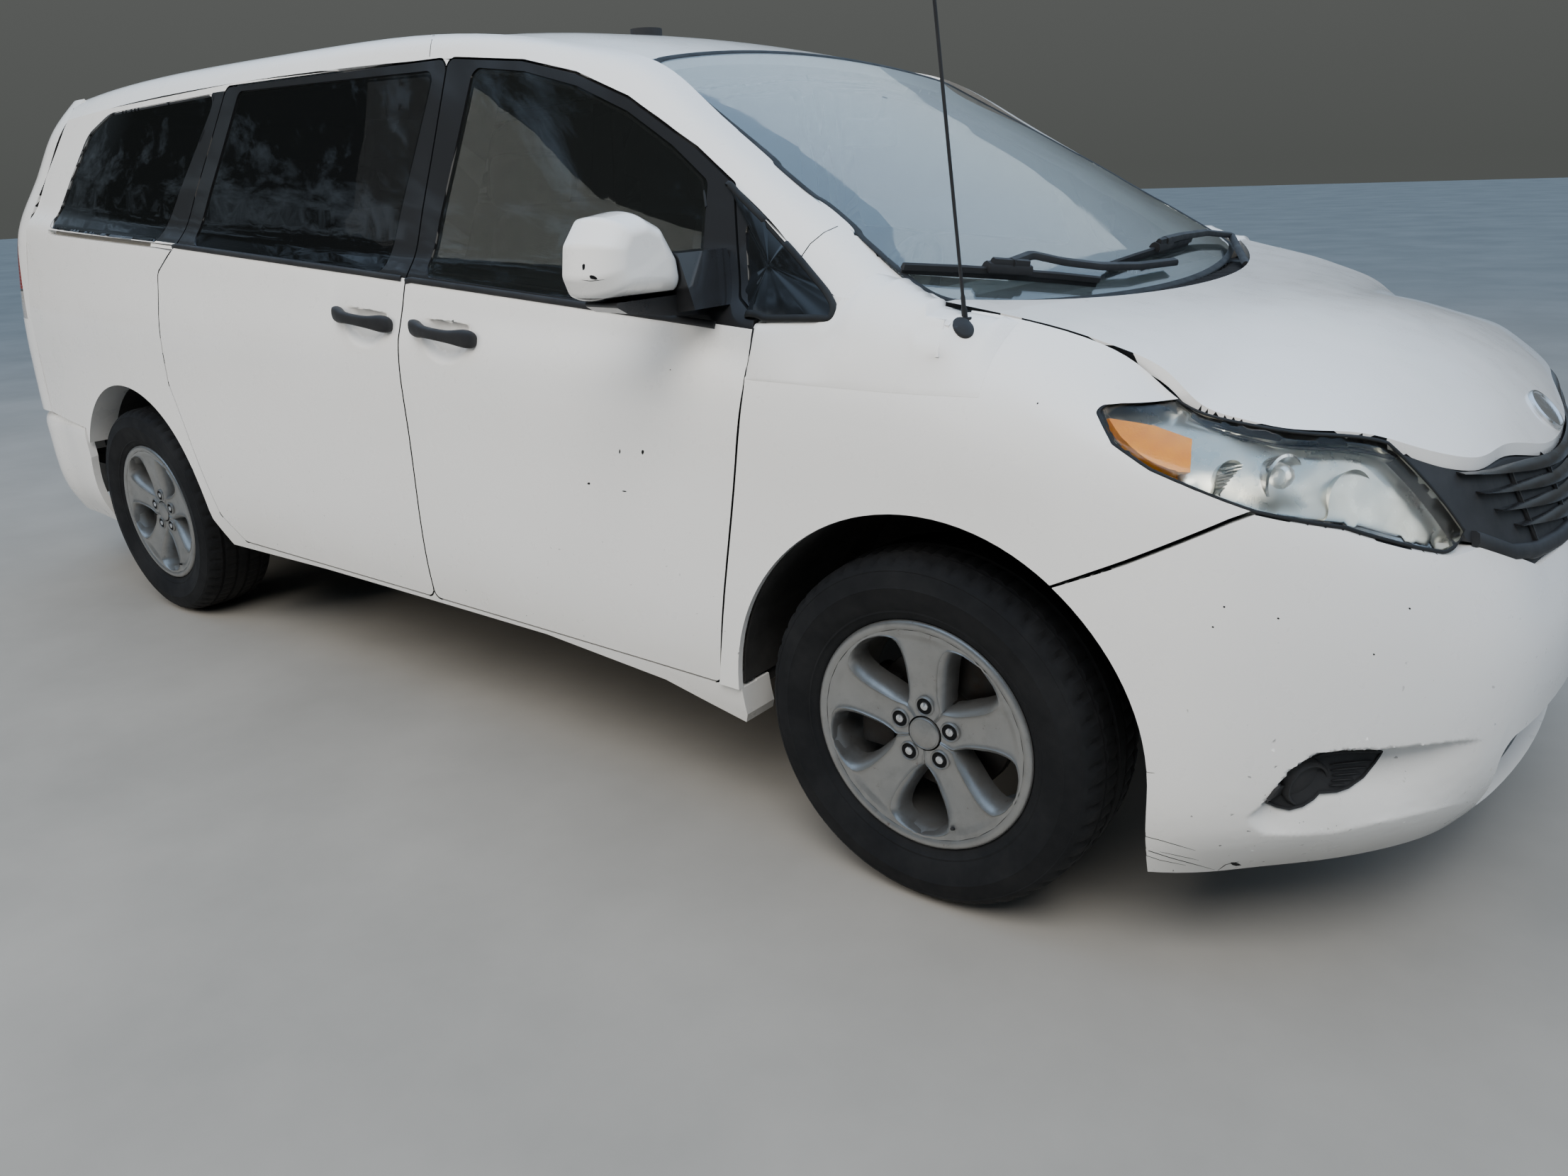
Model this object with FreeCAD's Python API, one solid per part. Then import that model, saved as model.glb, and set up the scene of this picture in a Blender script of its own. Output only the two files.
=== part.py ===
import FreeCAD, Part
import math
import os

V = FreeCAD.Vector

# Frame: X forward, Y to the vehicle's left, Z up, origin on the ground at mid-length. Millimetres.

# Overall sizes
NOSE_X = 2542.5
TAIL_X = -2542.5
FRONT_AXLE_X = 1582.5
WHEELBASE = 3030.0
REAR_AXLE_X = FRONT_AXLE_X - WHEELBASE
TRACK = 1720.0
ROOF_Z = 1750.0

# Running gear
TYRE_R = 357.0
TYRE_W = 235.0
TYRE_SQUASH = 5.0
AXLE_Z = TYRE_R - TYRE_SQUASH
RIM_R = 236.0
BEAD_R = 216.0
RIM_W = 190.0
SPOKES = 5
HUB_R = 78.0
LUG_CIRCLE_R = 57.15
LUG_R = 12.0
DISC_R = 148.0
DISC_T = 28.0
ARCH_R = 430.0
STEER_LOW_Y = 790.0
STEER_LOW_Z = 215.0
STEER_TOP_Y = 610.0
STEER_TOP_Z = 940.0
ARCH_LIP_Z = 362.0

# Panel work
GAP = 5.0
SKIN = 14.0
WALL = 92.0
DOOR_STEP = 24.0
GLASS_T = 5.0
GLASS_SINK = 4.0
REBATE = 12.0
FIT = 0.3
LAMP_GAP = 0.8
SEAT_GAP = 0.3
BUMPER_T = 26.0
PLATE_HOLES = 178.0
PLATE_HOLE_R = 3.0
PLATE_Z = 520.0
HOOD_T = 22.0
ROOF_T = 34.0
FLOOR_Z = 330.0
FLOOR_T = 60.0


def table(rows, x, column=1):
    """Smooth value at x from rows sorted by their first column, kept straight beyond the ends."""
    xs = [row[0] for row in rows]
    ys = [row[column] for row in rows]
    if xs[0] > xs[-1]:
        xs.reverse()
        ys.reverse()
    last = len(xs) - 1
    slopes = [(ys[i + 1] - ys[i]) / (xs[i + 1] - xs[i]) for i in range(last)]
    if x <= xs[0]:
        return ys[0] + slopes[0] * (x - xs[0])
    if x >= xs[-1]:
        return ys[-1] + slopes[-1] * (x - xs[-1])
    tangents = [slopes[0]]
    for i in range(1, last):
        before = xs[i] - xs[i - 1]
        after = xs[i + 1] - xs[i]
        tangents.append((slopes[i - 1] * after + slopes[i] * before) / (before + after))
    tangents.append(slopes[-1])
    i = max(j for j in range(last) if xs[j] <= x)
    span = xs[i + 1] - xs[i]
    t = (x - xs[i]) / span
    h00 = (1 + 2 * t) * (1 - t) ** 2
    h10 = t * (1 - t) ** 2
    h01 = t * t * (3 - 2 * t)
    h11 = t * t * (t - 1)
    return h00 * ys[i] + h10 * span * tangents[i] + h01 * ys[i + 1] + h11 * span * tangents[i + 1]


def knots_along(lines):
    """Shared parameter values for several lines of points, by their mean chord lengths."""
    count = len(lines[0])
    values = [0.0]
    for i in range(1, count):
        chord = sum((line[i] - line[i - 1]).Length for line in lines) / len(lines)
        values.append(values[-1] + chord)
    return values


def tangents(points, values):
    """Tangents of the smooth cubic through points at the given parameter values."""
    last = len(points) - 1
    steps = [values[i + 1] - values[i] for i in range(last)]
    slopes = [(points[i + 1] - points[i]) * (1.0 / steps[i]) for i in range(last)]
    if last == 1:
        return [slopes[0], slopes[0]]
    below = [0.0] * (last + 1)
    middle = [2.0] * (last + 1)
    above = [0.0] * (last + 1)
    right = [slopes[0] * 3.0] * (last + 1)
    above[0] = 1.0
    below[last] = 1.0
    right[last] = slopes[-1] * 3.0
    for i in range(1, last):
        below[i] = steps[i]
        above[i] = steps[i - 1]
        middle[i] = 2.0 * (steps[i - 1] + steps[i])
        right[i] = (slopes[i - 1] * steps[i] + slopes[i] * steps[i - 1]) * 3.0
    for i in range(1, last + 1):
        factor = below[i] / middle[i - 1]
        middle[i] -= factor * above[i - 1]
        right[i] = right[i] - right[i - 1] * factor
    result = [None] * (last + 1)
    result[last] = right[last] * (1.0 / middle[last])
    for i in range(last - 1, -1, -1):
        result[i] = (right[i] - result[i + 1] * above[i]) * (1.0 / middle[i])
    return result


def poles_along(points, values):
    """Poles of the cubic spline with double inner knots that passes through points."""
    slope = tangents(points, values)
    last = len(points) - 1
    poles = [points[0]]
    for i in range(last + 1):
        if i > 0:
            poles.append(points[i] - slope[i] * ((values[i] - values[i - 1]) / 3.0))
        if i < last:
            poles.append(points[i] + slope[i] * ((values[i + 1] - values[i]) / 3.0))
    poles.append(points[last])
    return poles


def surface(grid):
    """Smooth spline surface through a grid of points."""
    across = knots_along(grid)
    along = knots_along([[row[j] for row in grid] for j in range(len(grid[0]))])
    rows = [poles_along(row, across) for row in grid]
    columns = [poles_along([row[j] for row in rows], along) for j in range(len(rows[0]))]
    poles = [[column[i] for column in columns] for i in range(len(columns[0]))]
    net = Part.BSplineSurface()
    along_mults = [4] + [2] * (len(along) - 2) + [4]
    across_mults = [4] + [2] * (len(across) - 2) + [4]
    net.buildFromPolesMultsKnots(poles, along_mults, across_mults, along, across, False, False, 3, 3)
    return net


def closed_solid(faces):
    shell = Part.makeShell(faces)
    shell.sewShape()
    solid = Part.Solid(Part.Shell(shell.Faces))
    if solid.Volume < 0:
        solid.reverse()
    return solid


def normals(grid):
    """Unit normals of a grid of points, pointing away from the vehicle's middle."""
    result = []
    rows = len(grid)
    columns = len(grid[0])
    for i in range(rows):
        line = []
        for j in range(columns):
            along = grid[min(i + 1, rows - 1)][j] - grid[max(i - 1, 0)][j]
            across = grid[i][min(j + 1, columns - 1)] - grid[i][max(j - 1, 0)]
            normal = along.cross(across)
            normal.normalize()
            line.append(normal)
        result.append(line)
    return result


def plate(grid, thickness, sign=1.0, start=0.0):
    """Sheet of even thickness behind a grid of points; start sinks its face below the grid."""
    normal = normals(grid)
    outer = []
    inner = []
    for i in range(len(grid)):
        outer.append([grid[i][j] - normal[i][j] * sign * start for j in range(len(grid[0]))])
        inner.append([grid[i][j] - normal[i][j] * sign * (start + thickness) for j in range(len(grid[0]))])
    top = surface(outer)
    low = surface(inner)
    faces = [top.toShape(), low.toShape()]
    u0, u1, v0, v1 = top.bounds()
    p0, p1, q0, q1 = low.bounds()
    pairs = (
        (top.uIso(u0), low.uIso(p0)),
        (top.uIso(u1), low.uIso(p1)),
        (top.vIso(v0), low.vIso(q0)),
        (top.vIso(v1), low.vIso(q1)),
    )
    for first, second in pairs:
        faces.append(Part.makeRuledSurface(first.toShape(), second.toShape()))
    return closed_solid(faces)


def grown(points, grow):
    """Polygon with each side moved outward by grow."""
    if not grow:
        return list(points)
    area = 0.0
    count = len(points)
    for i in range(count):
        a, b = points[i], points[(i + 1) % count]
        area += a[0] * b[1] - b[0] * a[1]
    side = 1.0 if area > 0 else -1.0
    lines = []
    for i in range(count):
        a, b = points[i], points[(i + 1) % count]
        dx, dy = b[0] - a[0], b[1] - a[1]
        size = math.hypot(dx, dy)
        shift = (side * grow * dy / size, -side * grow * dx / size)
        lines.append(((a[0] + shift[0], a[1] + shift[1]), (dx, dy)))
    result = []
    for i in range(count):
        (p, d), (q, e) = lines[i - 1], lines[i]
        cross = d[0] * e[1] - d[1] * e[0]
        if abs(cross) < 1e-6 * math.hypot(*d) * math.hypot(*e):
            result.append(q)
            continue
        t = ((q[0] - p[0]) * e[1] - (q[1] - p[1]) * e[0]) / cross
        result.append((p[0] + d[0] * t, p[1] + d[1] * t))
    return result


def rounded_wire(points, radius, place):
    """Closed wire of lines and arcs; place turns a pair of numbers into a point."""
    count = len(points)
    starts = []
    edges = []
    for i in range(count):
        here = points[i]
        before = points[i - 1]
        after = points[(i + 1) % count]
        a = (before[0] - here[0], before[1] - here[1])
        b = (after[0] - here[0], after[1] - here[1])
        la, lb = math.hypot(*a), math.hypot(*b)
        cosine = max(-1.0, min(1.0, (a[0] * b[0] + a[1] * b[1]) / la / lb))
        angle = math.acos(cosine)
        if radius <= 0 or angle > math.radians(179):
            starts.append((here, here, None))
            continue
        reach = min(radius / math.tan(angle / 2), 0.45 * la, 0.45 * lb)
        r = reach * math.tan(angle / 2)
        enter = (here[0] + a[0] / la * reach, here[1] + a[1] / la * reach)
        leave = (here[0] + b[0] / lb * reach, here[1] + b[1] / lb * reach)
        mid = ((a[0] / la + b[0] / lb), (a[1] / la + b[1] / lb))
        size = math.hypot(*mid)
        depth = r / math.sin(angle / 2) - r
        middle = (here[0] + mid[0] / size * depth, here[1] + mid[1] / size * depth)
        starts.append((enter, leave, middle))
    for i in range(count):
        enter, leave, middle = starts[i]
        if middle:
            edges.append(Part.Arc(place(*enter), place(*middle), place(*leave)).toShape())
        following = starts[(i + 1) % count][0]
        if math.hypot(following[0] - leave[0], following[1] - leave[1]) > 1e-6:
            edges.append(Part.LineSegment(place(*leave), place(*following)).toShape())
    return Part.Wire(edges)


def side_prism(points, y0, y1, radius=0.0, grow=0.0):
    """Block between two Y planes with an outline drawn in X and Z."""
    wire = rounded_wire(grown(points, grow), radius, lambda a, b: V(a, y0, b))
    return Part.Face(wire).extrude(V(0, y1 - y0, 0))


def plan_prism(points, z0, z1, radius=0.0, grow=0.0):
    """Block between two Z planes with an outline drawn in X and Y."""
    wire = rounded_wire(grown(points, grow), radius, lambda a, b: V(a, b, z0))
    return Part.Face(wire).extrude(V(0, 0, z1 - z0))


def front_prism(points, x0, x1, radius=0.0, grow=0.0):
    """Block between two X planes with an outline drawn in Y and Z."""
    wire = rounded_wire(grown(points, grow), radius, lambda a, b: V(x0, a, b))
    return Part.Face(wire).extrude(V(x1 - x0, 0, 0))


def block(x0, x1, y0, y1, z0, z1, radius=0.0):
    if radius:
        wire = rounded_wire([(x0, y0), (x1, y0), (x1, y1), (x0, y1)], radius, lambda a, b: V(a, b, z0))
        return Part.Face(wire).extrude(V(0, 0, z1 - z0))
    return Part.makeBox(x1 - x0, y1 - y0, z1 - z0, V(x0, y0, z0))


def rod(start, end, radius):
    axis = end - start
    return Part.makeCylinder(radius, axis.Length, start, axis)


def mirrored(shape):
    return shape.mirror(V(0, 0, 0), V(0, 1, 0))


def joined(shapes):
    result = shapes[0]
    for shape in shapes[1:]:
        result = result.fuse(shape)
    return result


def largest(shape):
    """The biggest solid, without offcuts that a cut leaves loose."""
    return max(shape.Solids, key=lambda solid: solid.Volume)


def save(name, *shapes):
    """One STEP file per node; shapes that don't touch stay separate solids."""
    solids = []
    for shape in shapes:
        solids.extend(shape.Solids)
    whole = solids[0] if len(solids) == 1 else Part.makeCompound(solids)
    whole.exportStep("parts/" + name + ".step")
    print(name, len(solids), "solids", round(sum(s.Volume for s in solids) / 1e6, 2), "litres", whole.isValid())


# Right-hand half of the body side, seen from outside.
# Half width of the body at its widest level: x, half width
PLAN = (
    (1700, 987), (1500, 991), (1100, 985), (600, 982), (0, 982),
    (-600, 985), (-1200, 988), (-1500, 986), (-1800, 978), (-2050, 966), (-2330, 945),
)
# Lower side: height at x = 0, rise per mm towards the nose, distance in from the half width
LOWER_LEVELS = (
    (200.0, 0.0, 60.0),
    (275.0, 0.0, 30.0),
    (345.0, 0.0, 14.0),
    (560.0, 0.0, 0.0),
    (820.0, 0.0, 4.0),
    (1000.0, -0.020, 10.0),
    (1050.0, -0.030, 20.0),
    (1120.0, -0.055, 34.0),
    (1177.0, -0.062, 48.0),
)
# Above the belt line: steps of height, and the lean inwards per mm of height: x, lean
UPPER_STEPS = (30.0, 110.0, 240.0, 380.0, 520.0, 640.0)
LEAN = ((-2330, 0.40), (-1500, 0.345), (0, 0.335), (800, 0.40), (1650, 0.46))
SHOULDER_DROP = 14.0
SHOULDER_RUN = 25.0
# Top of the door frames and side windows: x, height
RAIL = (
    (1620, 1104), (1500, 1114), (1365, 1146), (1274, 1213), (1083, 1338), (966, 1411), (755, 1518),
    (590, 1578), (421, 1616), (160, 1640), (-150, 1650), (-725, 1655), (-1100, 1650), (-1522, 1635),
    (-1900, 1605), (-2120, 1570),
)
# Edge where the side meets the windscreen and then the roof: x, half width, height
EDGE = (
    (1620, 836, 1118), (1547, 810, 1133), (1312, 759, 1264), (1190, 733, 1334), (978, 691, 1455), (748, 644, 1592),
    (500, 662, 1655), (200, 684, 1700), (-300, 690, 1722), (-900, 690, 1727), (-1400, 688, 1722),
    (-1900, 668, 1698), (-2120, 640, 1680),
)
SIDE_COLUMNS = (-2330, -2050, -1750, -1450, -1100, -700, -300, 100, 450, 750, 1000, 1250, 1450, 1620)
RAIL_COLUMNS = (-1860, -1640, -1400, -900, -400, 50, 350, 550, 750, 920, 1080, 1220, 1350, 1480, 1610)


def belt_z(x):
    height, rise, inset = LOWER_LEVELS[-1]
    return height + rise * x


def lean_in(x, rise):
    """How far the glasshouse stands in from the belt line at a height above it."""
    return SHOULDER_DROP * (1 - math.exp(-rise / SHOULDER_RUN)) + table(LEAN, x) * rise


def side_y(x, z):
    """Half width of the glasshouse at a point above the belt line."""
    return table(PLAN, x) - LOWER_LEVELS[-1][2] - lean_in(x, z - belt_z(x))


def side_column(x):
    """Points up the right-hand side at one x, from the skirt to above the roof line."""
    half = table(PLAN, x)
    points = []
    for height, rise, inset in LOWER_LEVELS:
        points.append(V(x, -(half - inset), height + rise * x))
    for step in UPPER_STEPS:
        points.append(V(x, -(half - inset - lean_in(x, step)), belt_z(x) + step))
    return points


def side_slab(depth0, depth1):
    """Right-hand side wall between two depths below its outer surface."""
    face = surface([side_column(x) for x in SIDE_COLUMNS]).toShape()
    face.translate(V(0, depth0, 0))
    return face.extrude(V(0, depth1 - depth0, 0))


# Outlines in side view: x, z
FRONT_DOOR = (
    (1102, 352), (118, 352), (122, 1020), (148, 1172), (172, 1645),
    (421, 1619), (590, 1581), (755, 1521), (966, 1414), (1083, 1342), (1154, 1140),
    (1212, 1106), (1205, 978), (1180, 826), (1135, 558),
)
SLIDING_DOOR = (
    (113, 352), (-835, 352), (-946, 425), (-1027, 625), (-1101, 823), (-1073, 1153), (-951, 1238),
    (-790, 1650), (167, 1645), (143, 1172), (117, 1020),
)
FRONT_WINDOW = (
    (218, 1176), (272, 1606), (430, 1586), (600, 1544), (760, 1484), (900, 1412), (1006, 1345), (1048, 1118),
)
SLIDING_WINDOW = ((-862, 1244), (-716, 1624), (112, 1612), (37, 1185))
QUARTER_WINDOW = ((-1085, 1254), (-862, 1626), (-1500, 1612), (-1640, 1560), (-1830, 1296))
VENT_WINDOW = ((1190, 1136), (1138, 1292), (1240, 1222), (1340, 1142))
FRONT_ARCH = (FRONT_AXLE_X + 8, ARCH_LIP_Z)
REAR_ARCH = (REAR_AXLE_X + 4, ARCH_LIP_Z)

# Inner body of the front door, cut back at its rear so that it swings clear of the pillar
FRONT_DOOR_BODY = (
    (1102, 352), (130, 352), (136, 1020), (166, 1172), (202, 1641),
    (421, 1619), (590, 1581), (755, 1521), (966, 1414), (1083, 1342), (1154, 1140),
    (1212, 1106), (1205, 978), (1180, 826), (1135, 558),
)
OUT = -1100.0
IN = -400.0


def wheel_cut(centre, radius, y0=OUT, y1=-520.0):
    """Cylinder that opens a wheel arch, flat below the hub."""
    x, z = centre
    drum = Part.makeCylinder(radius, y1 - y0, V(x, y0, z), V(0, 1, 0))
    under = block(x - radius, x + radius, y0, y1, z - radius - 200, z)
    return drum.fuse(under)


side_outer = side_slab(0, SKIN)
side_inner = side_slab(SKIN, WALL)


def door(outline, inner_outline, window, radius):
    """Door leaf: a full-size skin, a smaller inner body and a rebated window."""
    skin = side_outer.common(side_prism(outline, OUT, IN, radius))
    body = side_inner.common(side_prism(inner_outline, OUT, IN, radius, -DOOR_STEP))
    leaf = skin.fuse(body)
    leaf = leaf.cut(side_prism(window, OUT, IN, 26.0))
    rebate = side_slab(-2.0, GLASS_SINK + GLASS_T + FIT).common(side_prism(window, OUT, IN, 26.0, REBATE))
    return leaf.cut(rebate)


def pane(window):
    slab = side_slab(GLASS_SINK, GLASS_SINK + GLASS_T)
    return slab.common(side_prism(window, OUT, IN, 26.0, REBATE - FIT))


front_door = door(FRONT_DOOR, FRONT_DOOR_BODY, FRONT_WINDOW, 20.0)
sliding_door = door(SLIDING_DOOR, SLIDING_DOOR, SLIDING_WINDOW, 30.0)
front_pane = pane(FRONT_WINDOW)
sliding_pane = pane(SLIDING_WINDOW)
quarter_pane = pane(QUARTER_WINDOW)
vent_pane = pane(VENT_WINDOW)

# Body side: everything behind the front fender that isn't a door
SIDE_FRAME = (
    (1150, 262), (930, 312), (544, 338), (-403, 336), (-930, 325), (-1010, 400), (-1060, 560),
    (-1830, 560), (-1830, 612), (-2140, 640), (-2120, 1000), (-2050, 1280), (-1965, 1450), (-1865, 1600),
    (-1840, 1625), (-1522, 1640), (-725, 1660), (160, 1645), (590, 1583), (966, 1416), (1274, 1218),
    (1365, 1151), (1600, 1118), (1610, 1062), (1400, 1060), (1217, 1060),
    (1212, 978), (1186, 826), (1141, 558), (1108, 357), (1190, 352),
)
RAIL_T = 60.0
side_wall = side_slab(0, WALL).common(side_prism(SIDE_FRAME, OUT, IN))
for outline, radius in ((FRONT_DOOR, 20.0), (SLIDING_DOOR, 30.0)):
    opening = side_slab(-10, SKIN + GAP).common(side_prism(outline, OUT, IN, radius + GAP, GAP))
    inner = side_slab(SKIN, WALL + 40).common(side_prism(outline, OUT, IN, radius, GAP - DOOR_STEP))
    side_wall = side_wall.cut(opening).cut(inner)
for window in (QUARTER_WINDOW, VENT_WINDOW):
    side_wall = side_wall.cut(side_prism(window, OUT, IN, 26.0))
    rebate = side_slab(-2.0, GLASS_SINK + GLASS_T + FIT).common(side_prism(window, OUT, IN, 26.0, REBATE))
    side_wall = side_wall.cut(rebate)
side_wall = side_wall.cut(wheel_cut(REAR_ARCH, ARCH_R))
side_wall = side_wall.cut(wheel_cut(FRONT_ARCH, ARCH_R))


def rail_row(x):
    """Points across the roof rail at one x, from the door top to the roof edge."""
    z = table(RAIL, x) + GAP
    low = V(x, -side_y(x, z) + 2.0, z)
    edge = V(x, -table(EDGE, x, 1), table(EDGE, x, 2))
    brow = (low + edge) * 0.5 + V(0, -0.10 * (edge.y - low.y), 0.14 * (edge.z - low.z) + 4.0)
    return [low, brow, edge]


rail = plate([rail_row(x) for x in RAIL_COLUMNS], RAIL_T)

rail_left = mirrored(rail)

# Windscreen: centre and side points of its top and bottom edges: x, half width, height
SCREEN_TOP = (655.0, 45.0, 622.0, 1652.0, -46.0)
SCREEN_FOOT = (1672.0, -125.0, 800.0, 1092.0, 34.0)
SCREEN_BOW = 20.0
SCREEN_T = 6.0
SCREEN_ROWS = 5
SCREEN_COLUMNS = 9


def screen_point(across, up):
    """Windscreen surface; across runs from -1 at the right to 1, up from 0 at the cowl to 1."""
    top_x, top_bend, top_half, top_z, top_drop = SCREEN_TOP
    foot_x, foot_bend, foot_half, foot_z, foot_rise = SCREEN_FOOT
    square = across * across
    top = V(top_x + top_bend * square, top_half * across, top_z + top_drop * square)
    foot = V(foot_x + foot_bend * square, foot_half * across, foot_z + foot_rise * square)
    bow = SCREEN_BOW * math.sin(math.pi * up) * (1 - 0.7 * square)
    return foot + (top - foot) * up + V(0.45 * bow, 0, 0.9 * bow)


def spread(count, low, high):
    return [low + (high - low) * i / (count - 1) for i in range(count)]


screen_grid = []
for across in spread(SCREEN_COLUMNS, -1.03, 1.03):
    screen_grid.append([screen_point(across, up) for up in spread(SCREEN_ROWS, 0.0, 1.0)])
windshield = plate(screen_grid, SCREEN_T).cut(rail).cut(rail_left)

# Roof: height of its centre line, and how far its edge drops below: x, height, drop
CROWN = (
    (700, 1641, 44), (400, 1706, 35), (0, 1738, 27), (-500, 1750, 25), (-1200, 1745, 26), (-1800, 1723, 28),
    (-2150, 1694, 30),
)
ROOF_HALF = 692.0
ROOF_REAR_X = -1950.0
ROOF_ROWS = 9
ROOF_COLUMNS = 9


def roof_z(x, y):
    return table(CROWN, x, 1) - table(CROWN, x, 2) * (y / ROOF_HALF) ** 2


roof_grid = []
for share in spread(ROOF_ROWS, 0.0, 1.0):
    row = []
    for across in spread(ROOF_COLUMNS, -1.0, 1.0):
        front = SCREEN_TOP[0] + SCREEN_TOP[1] * across * across - GAP
        x = ROOF_REAR_X + (front - ROOF_REAR_X) * share
        y = table(EDGE, x, 1) * across
        row.append(V(x, y, roof_z(x, y) - 6.0 * abs(across) ** 12))
    roof_grid.append(row)
roof_panel = plate(roof_grid, ROOF_T).cut(rail).cut(rail_left).cut(windshield)

# Front corner in plan at its widest level, from the nose round to the side, with the depth in from it
# at each level. Columns: x, half width, skirt in, chin in, then height and depth in of four levels.
FRONT = (
    (NOSE_X, 0, 70, 22, 690, 40, 740, 62, 790, 84, 829, 102),
    (2534, 200, 70, 22, 690, 40, 742, 62, 795, 86, 848, 108),
    (2510, 400, 75, 24, 690, 42, 745, 66, 805, 96, 872, 128),
    (2472, 560, 85, 26, 700, 36, 760, 66, 825, 92, 880, 118),
    (2400, 700, 95, 28, 710, 24, 780, 50, 850, 85, 912, 122),
    (2316, 800, 95, 26, 720, 14, 800, 38, 880, 80, 945, 128),
    (2213, 885, 85, 20, 740, 10, 830, 30, 900, 66, 958, 130),
    (2113, 940, 60, 14, 760, 8, 850, 24, 915, 58, 970, 150),
    (2000, 970, 30, 8, 780, 6, 880, 22, 940, 60, 990, 190),
    (1900, 981, 18, 6, 800, 5, 905, 20, 975, 60, 1045, 200),
    (1770, 986, 14, 6, 820, 5, 940, 16, 1025, 62, 1094, 188),
    (1650, 988, 14, 6, 820, 5, 965, 14, 1050, 60, 1119, 170),
    (1540, 990, 14, 6, 820, 5, 985, 12, 1065, 52, 1132, 140),
    (1380, 989, 14, 6, 820, 4, 990, 11, 1070, 44, 1132, 110),
    (1240, 987, 14, 6, 820, 4, 990, 10, 1070, 36, 1125, 80),
    (1085, 985, 14, 6, 820, 4, 995, 10, 1075, 34, 1125, 60),
)
SKIRT_Z = 205.0
CHIN_Z = 300.0
BUMPER_Z = 420.0
BULGE_Z = 560.0


def front_column(index):
    """Points up the right-hand front corner at one station."""
    x, half, skirt, chin = FRONT[index][:4]
    before = FRONT[max(index - 1, 0)]
    after = FRONT[min(index + 1, len(FRONT) - 1)]
    run = V(before[0] - after[0], after[1] - before[1], 0)
    if index == 0:
        run = V(0, 1, 0)
    inward = V(-run.y, run.x, 0)
    inward.normalize()
    levels = [(SKIRT_Z, skirt), (CHIN_Z, chin), (BUMPER_Z, 2.0), (BULGE_Z, 0.0)]
    rest = FRONT[index][4:]
    levels += [(rest[i], rest[i + 1]) for i in range(0, len(rest), 2)]
    return [V(x, -half, z) + inward * depth for z, depth in levels]


def flip(points):
    return [V(p.x, -p.y, p.z) for p in points]


def front_grid(first, last):
    """Right-hand stations between two indices, in order of growing x."""
    return [front_column(i) for i in range(last, first - 1, -1)]


def nose_grid(last):
    right = front_grid(0, last)
    return right + [flip(column) for column in reversed(right[:-1])]


LAMP = (
    (1870, 996), (1903, 997), (2003, 988), (2110, 990), (2320, 990), (2385, 860), (2363, 767), (2235, 828),
    (2127, 857), (1978, 912), (1915, 946),
)
SEAM = ((1740, 640), (1801, 691), (1958, 767), (2095, 842), (2149, 866))
FENDER = (
    (1108, 352), (1190, 352), (1300, 300), (1700, 300), (1801, 691), (1958, 772), (2095, 847), (2160, 876),
    (2260, 1000), (2100, 1100), (1600, 1180), (1580, 1144), (1400, 1117), (1220, 1105), (1217, 1100),
    (1210, 978), (1185, 826), (1140, 558), (1107, 357),
)
fender = plate(front_grid(5, 15), SKIN)
fender = fender.common(side_prism(FENDER, OUT, IN))
fender = fender.cut(side_prism(LAMP, OUT, IN, 12.0, LAMP_GAP)).cut(wheel_cut(FRONT_ARCH, ARCH_R, OUT, IN))

lamp_shell = plate(front_grid(1, 10), 60.0, 1.0, 2.0)
GRILLE = ((-612, 772), (-418, 690), (418, 690), (612, 772), (690, 960), (-690, 960))
headlamp = lamp_shell.common(side_prism(LAMP, OUT, -300, 10.0)).cut(front_prism(GRILLE, 2100, 2700, 0, 3.0))

BUMPER = (
    (1700, 150), (2600, 150), (2600, 840), (2395, 762), (2363, 763), (2235, 824), (2127, 853), (2095, 838),
    (1958, 763), (1801, 687), (1700, 640),
)
LOWER_MOUTH = ((-520, 262), (520, 262), (560, 420), (-560, 420))
bumper_shell = plate(nose_grid(10), BUMPER_T)
front_bumper = bumper_shell.common(side_prism(BUMPER, OUT, -OUT))
front_bumper = front_bumper.cut(front_prism(GRILLE, 2100, 2700))
front_bumper = front_bumper.cut(front_prism(LOWER_MOUTH, 2100, 2700, 40))
for y0, y1 in ((OUT, IN), (-IN, -OUT)):
    front_bumper = front_bumper.cut(wheel_cut(FRONT_ARCH, ARCH_R, y0, y1))
for y in (-PLATE_HOLES / 2, PLATE_HOLES / 2):
    front_bumper = front_bumper.cut(rod(V(2400, y, PLATE_Z), V(2700, y, PLATE_Z), PLATE_HOLE_R))
grille_shell = plate(nose_grid(6), 34.0, 1.0, 8.0)
grille = grille_shell.common(front_prism(GRILLE, 2100, 2700, 0, -FIT))
fender_room = plate(front_grid(5, 15), 60.0, 1.0, -FIT).common(side_prism(FENDER, OUT, IN, 0, FIT))

# Bonnet: centre height and fall per square of half width: x, height, fall in millionths
HOOD_LINE = (
    (1560, 1139, 0), (1664, 1118, 0), (1767, 1103, 12), (1860, 1090, 38), (1940, 1078, 78), (1990, 1069, 125),
    (2060, 1056, 130), (2130, 1036, 125), (2234, 993, 100), (2297, 960, 115), (2365, 911, 125),
    (2400, 878, 150), (2424, 855, 180), (2440, 832, 200), (2480, 770, 200),
)
HOOD_COLUMNS = (1560, 1664, 1767, 1860, 1940, 1990, 2060, 2130, 2234, 2297, 2365, 2405, 2440, 2475)
HOOD_REAR_X = 1752.0


def hood_z(x, y):
    return table(HOOD_LINE, x, 1) - table(HOOD_LINE, x, 2) * y * y / 1e6


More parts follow.
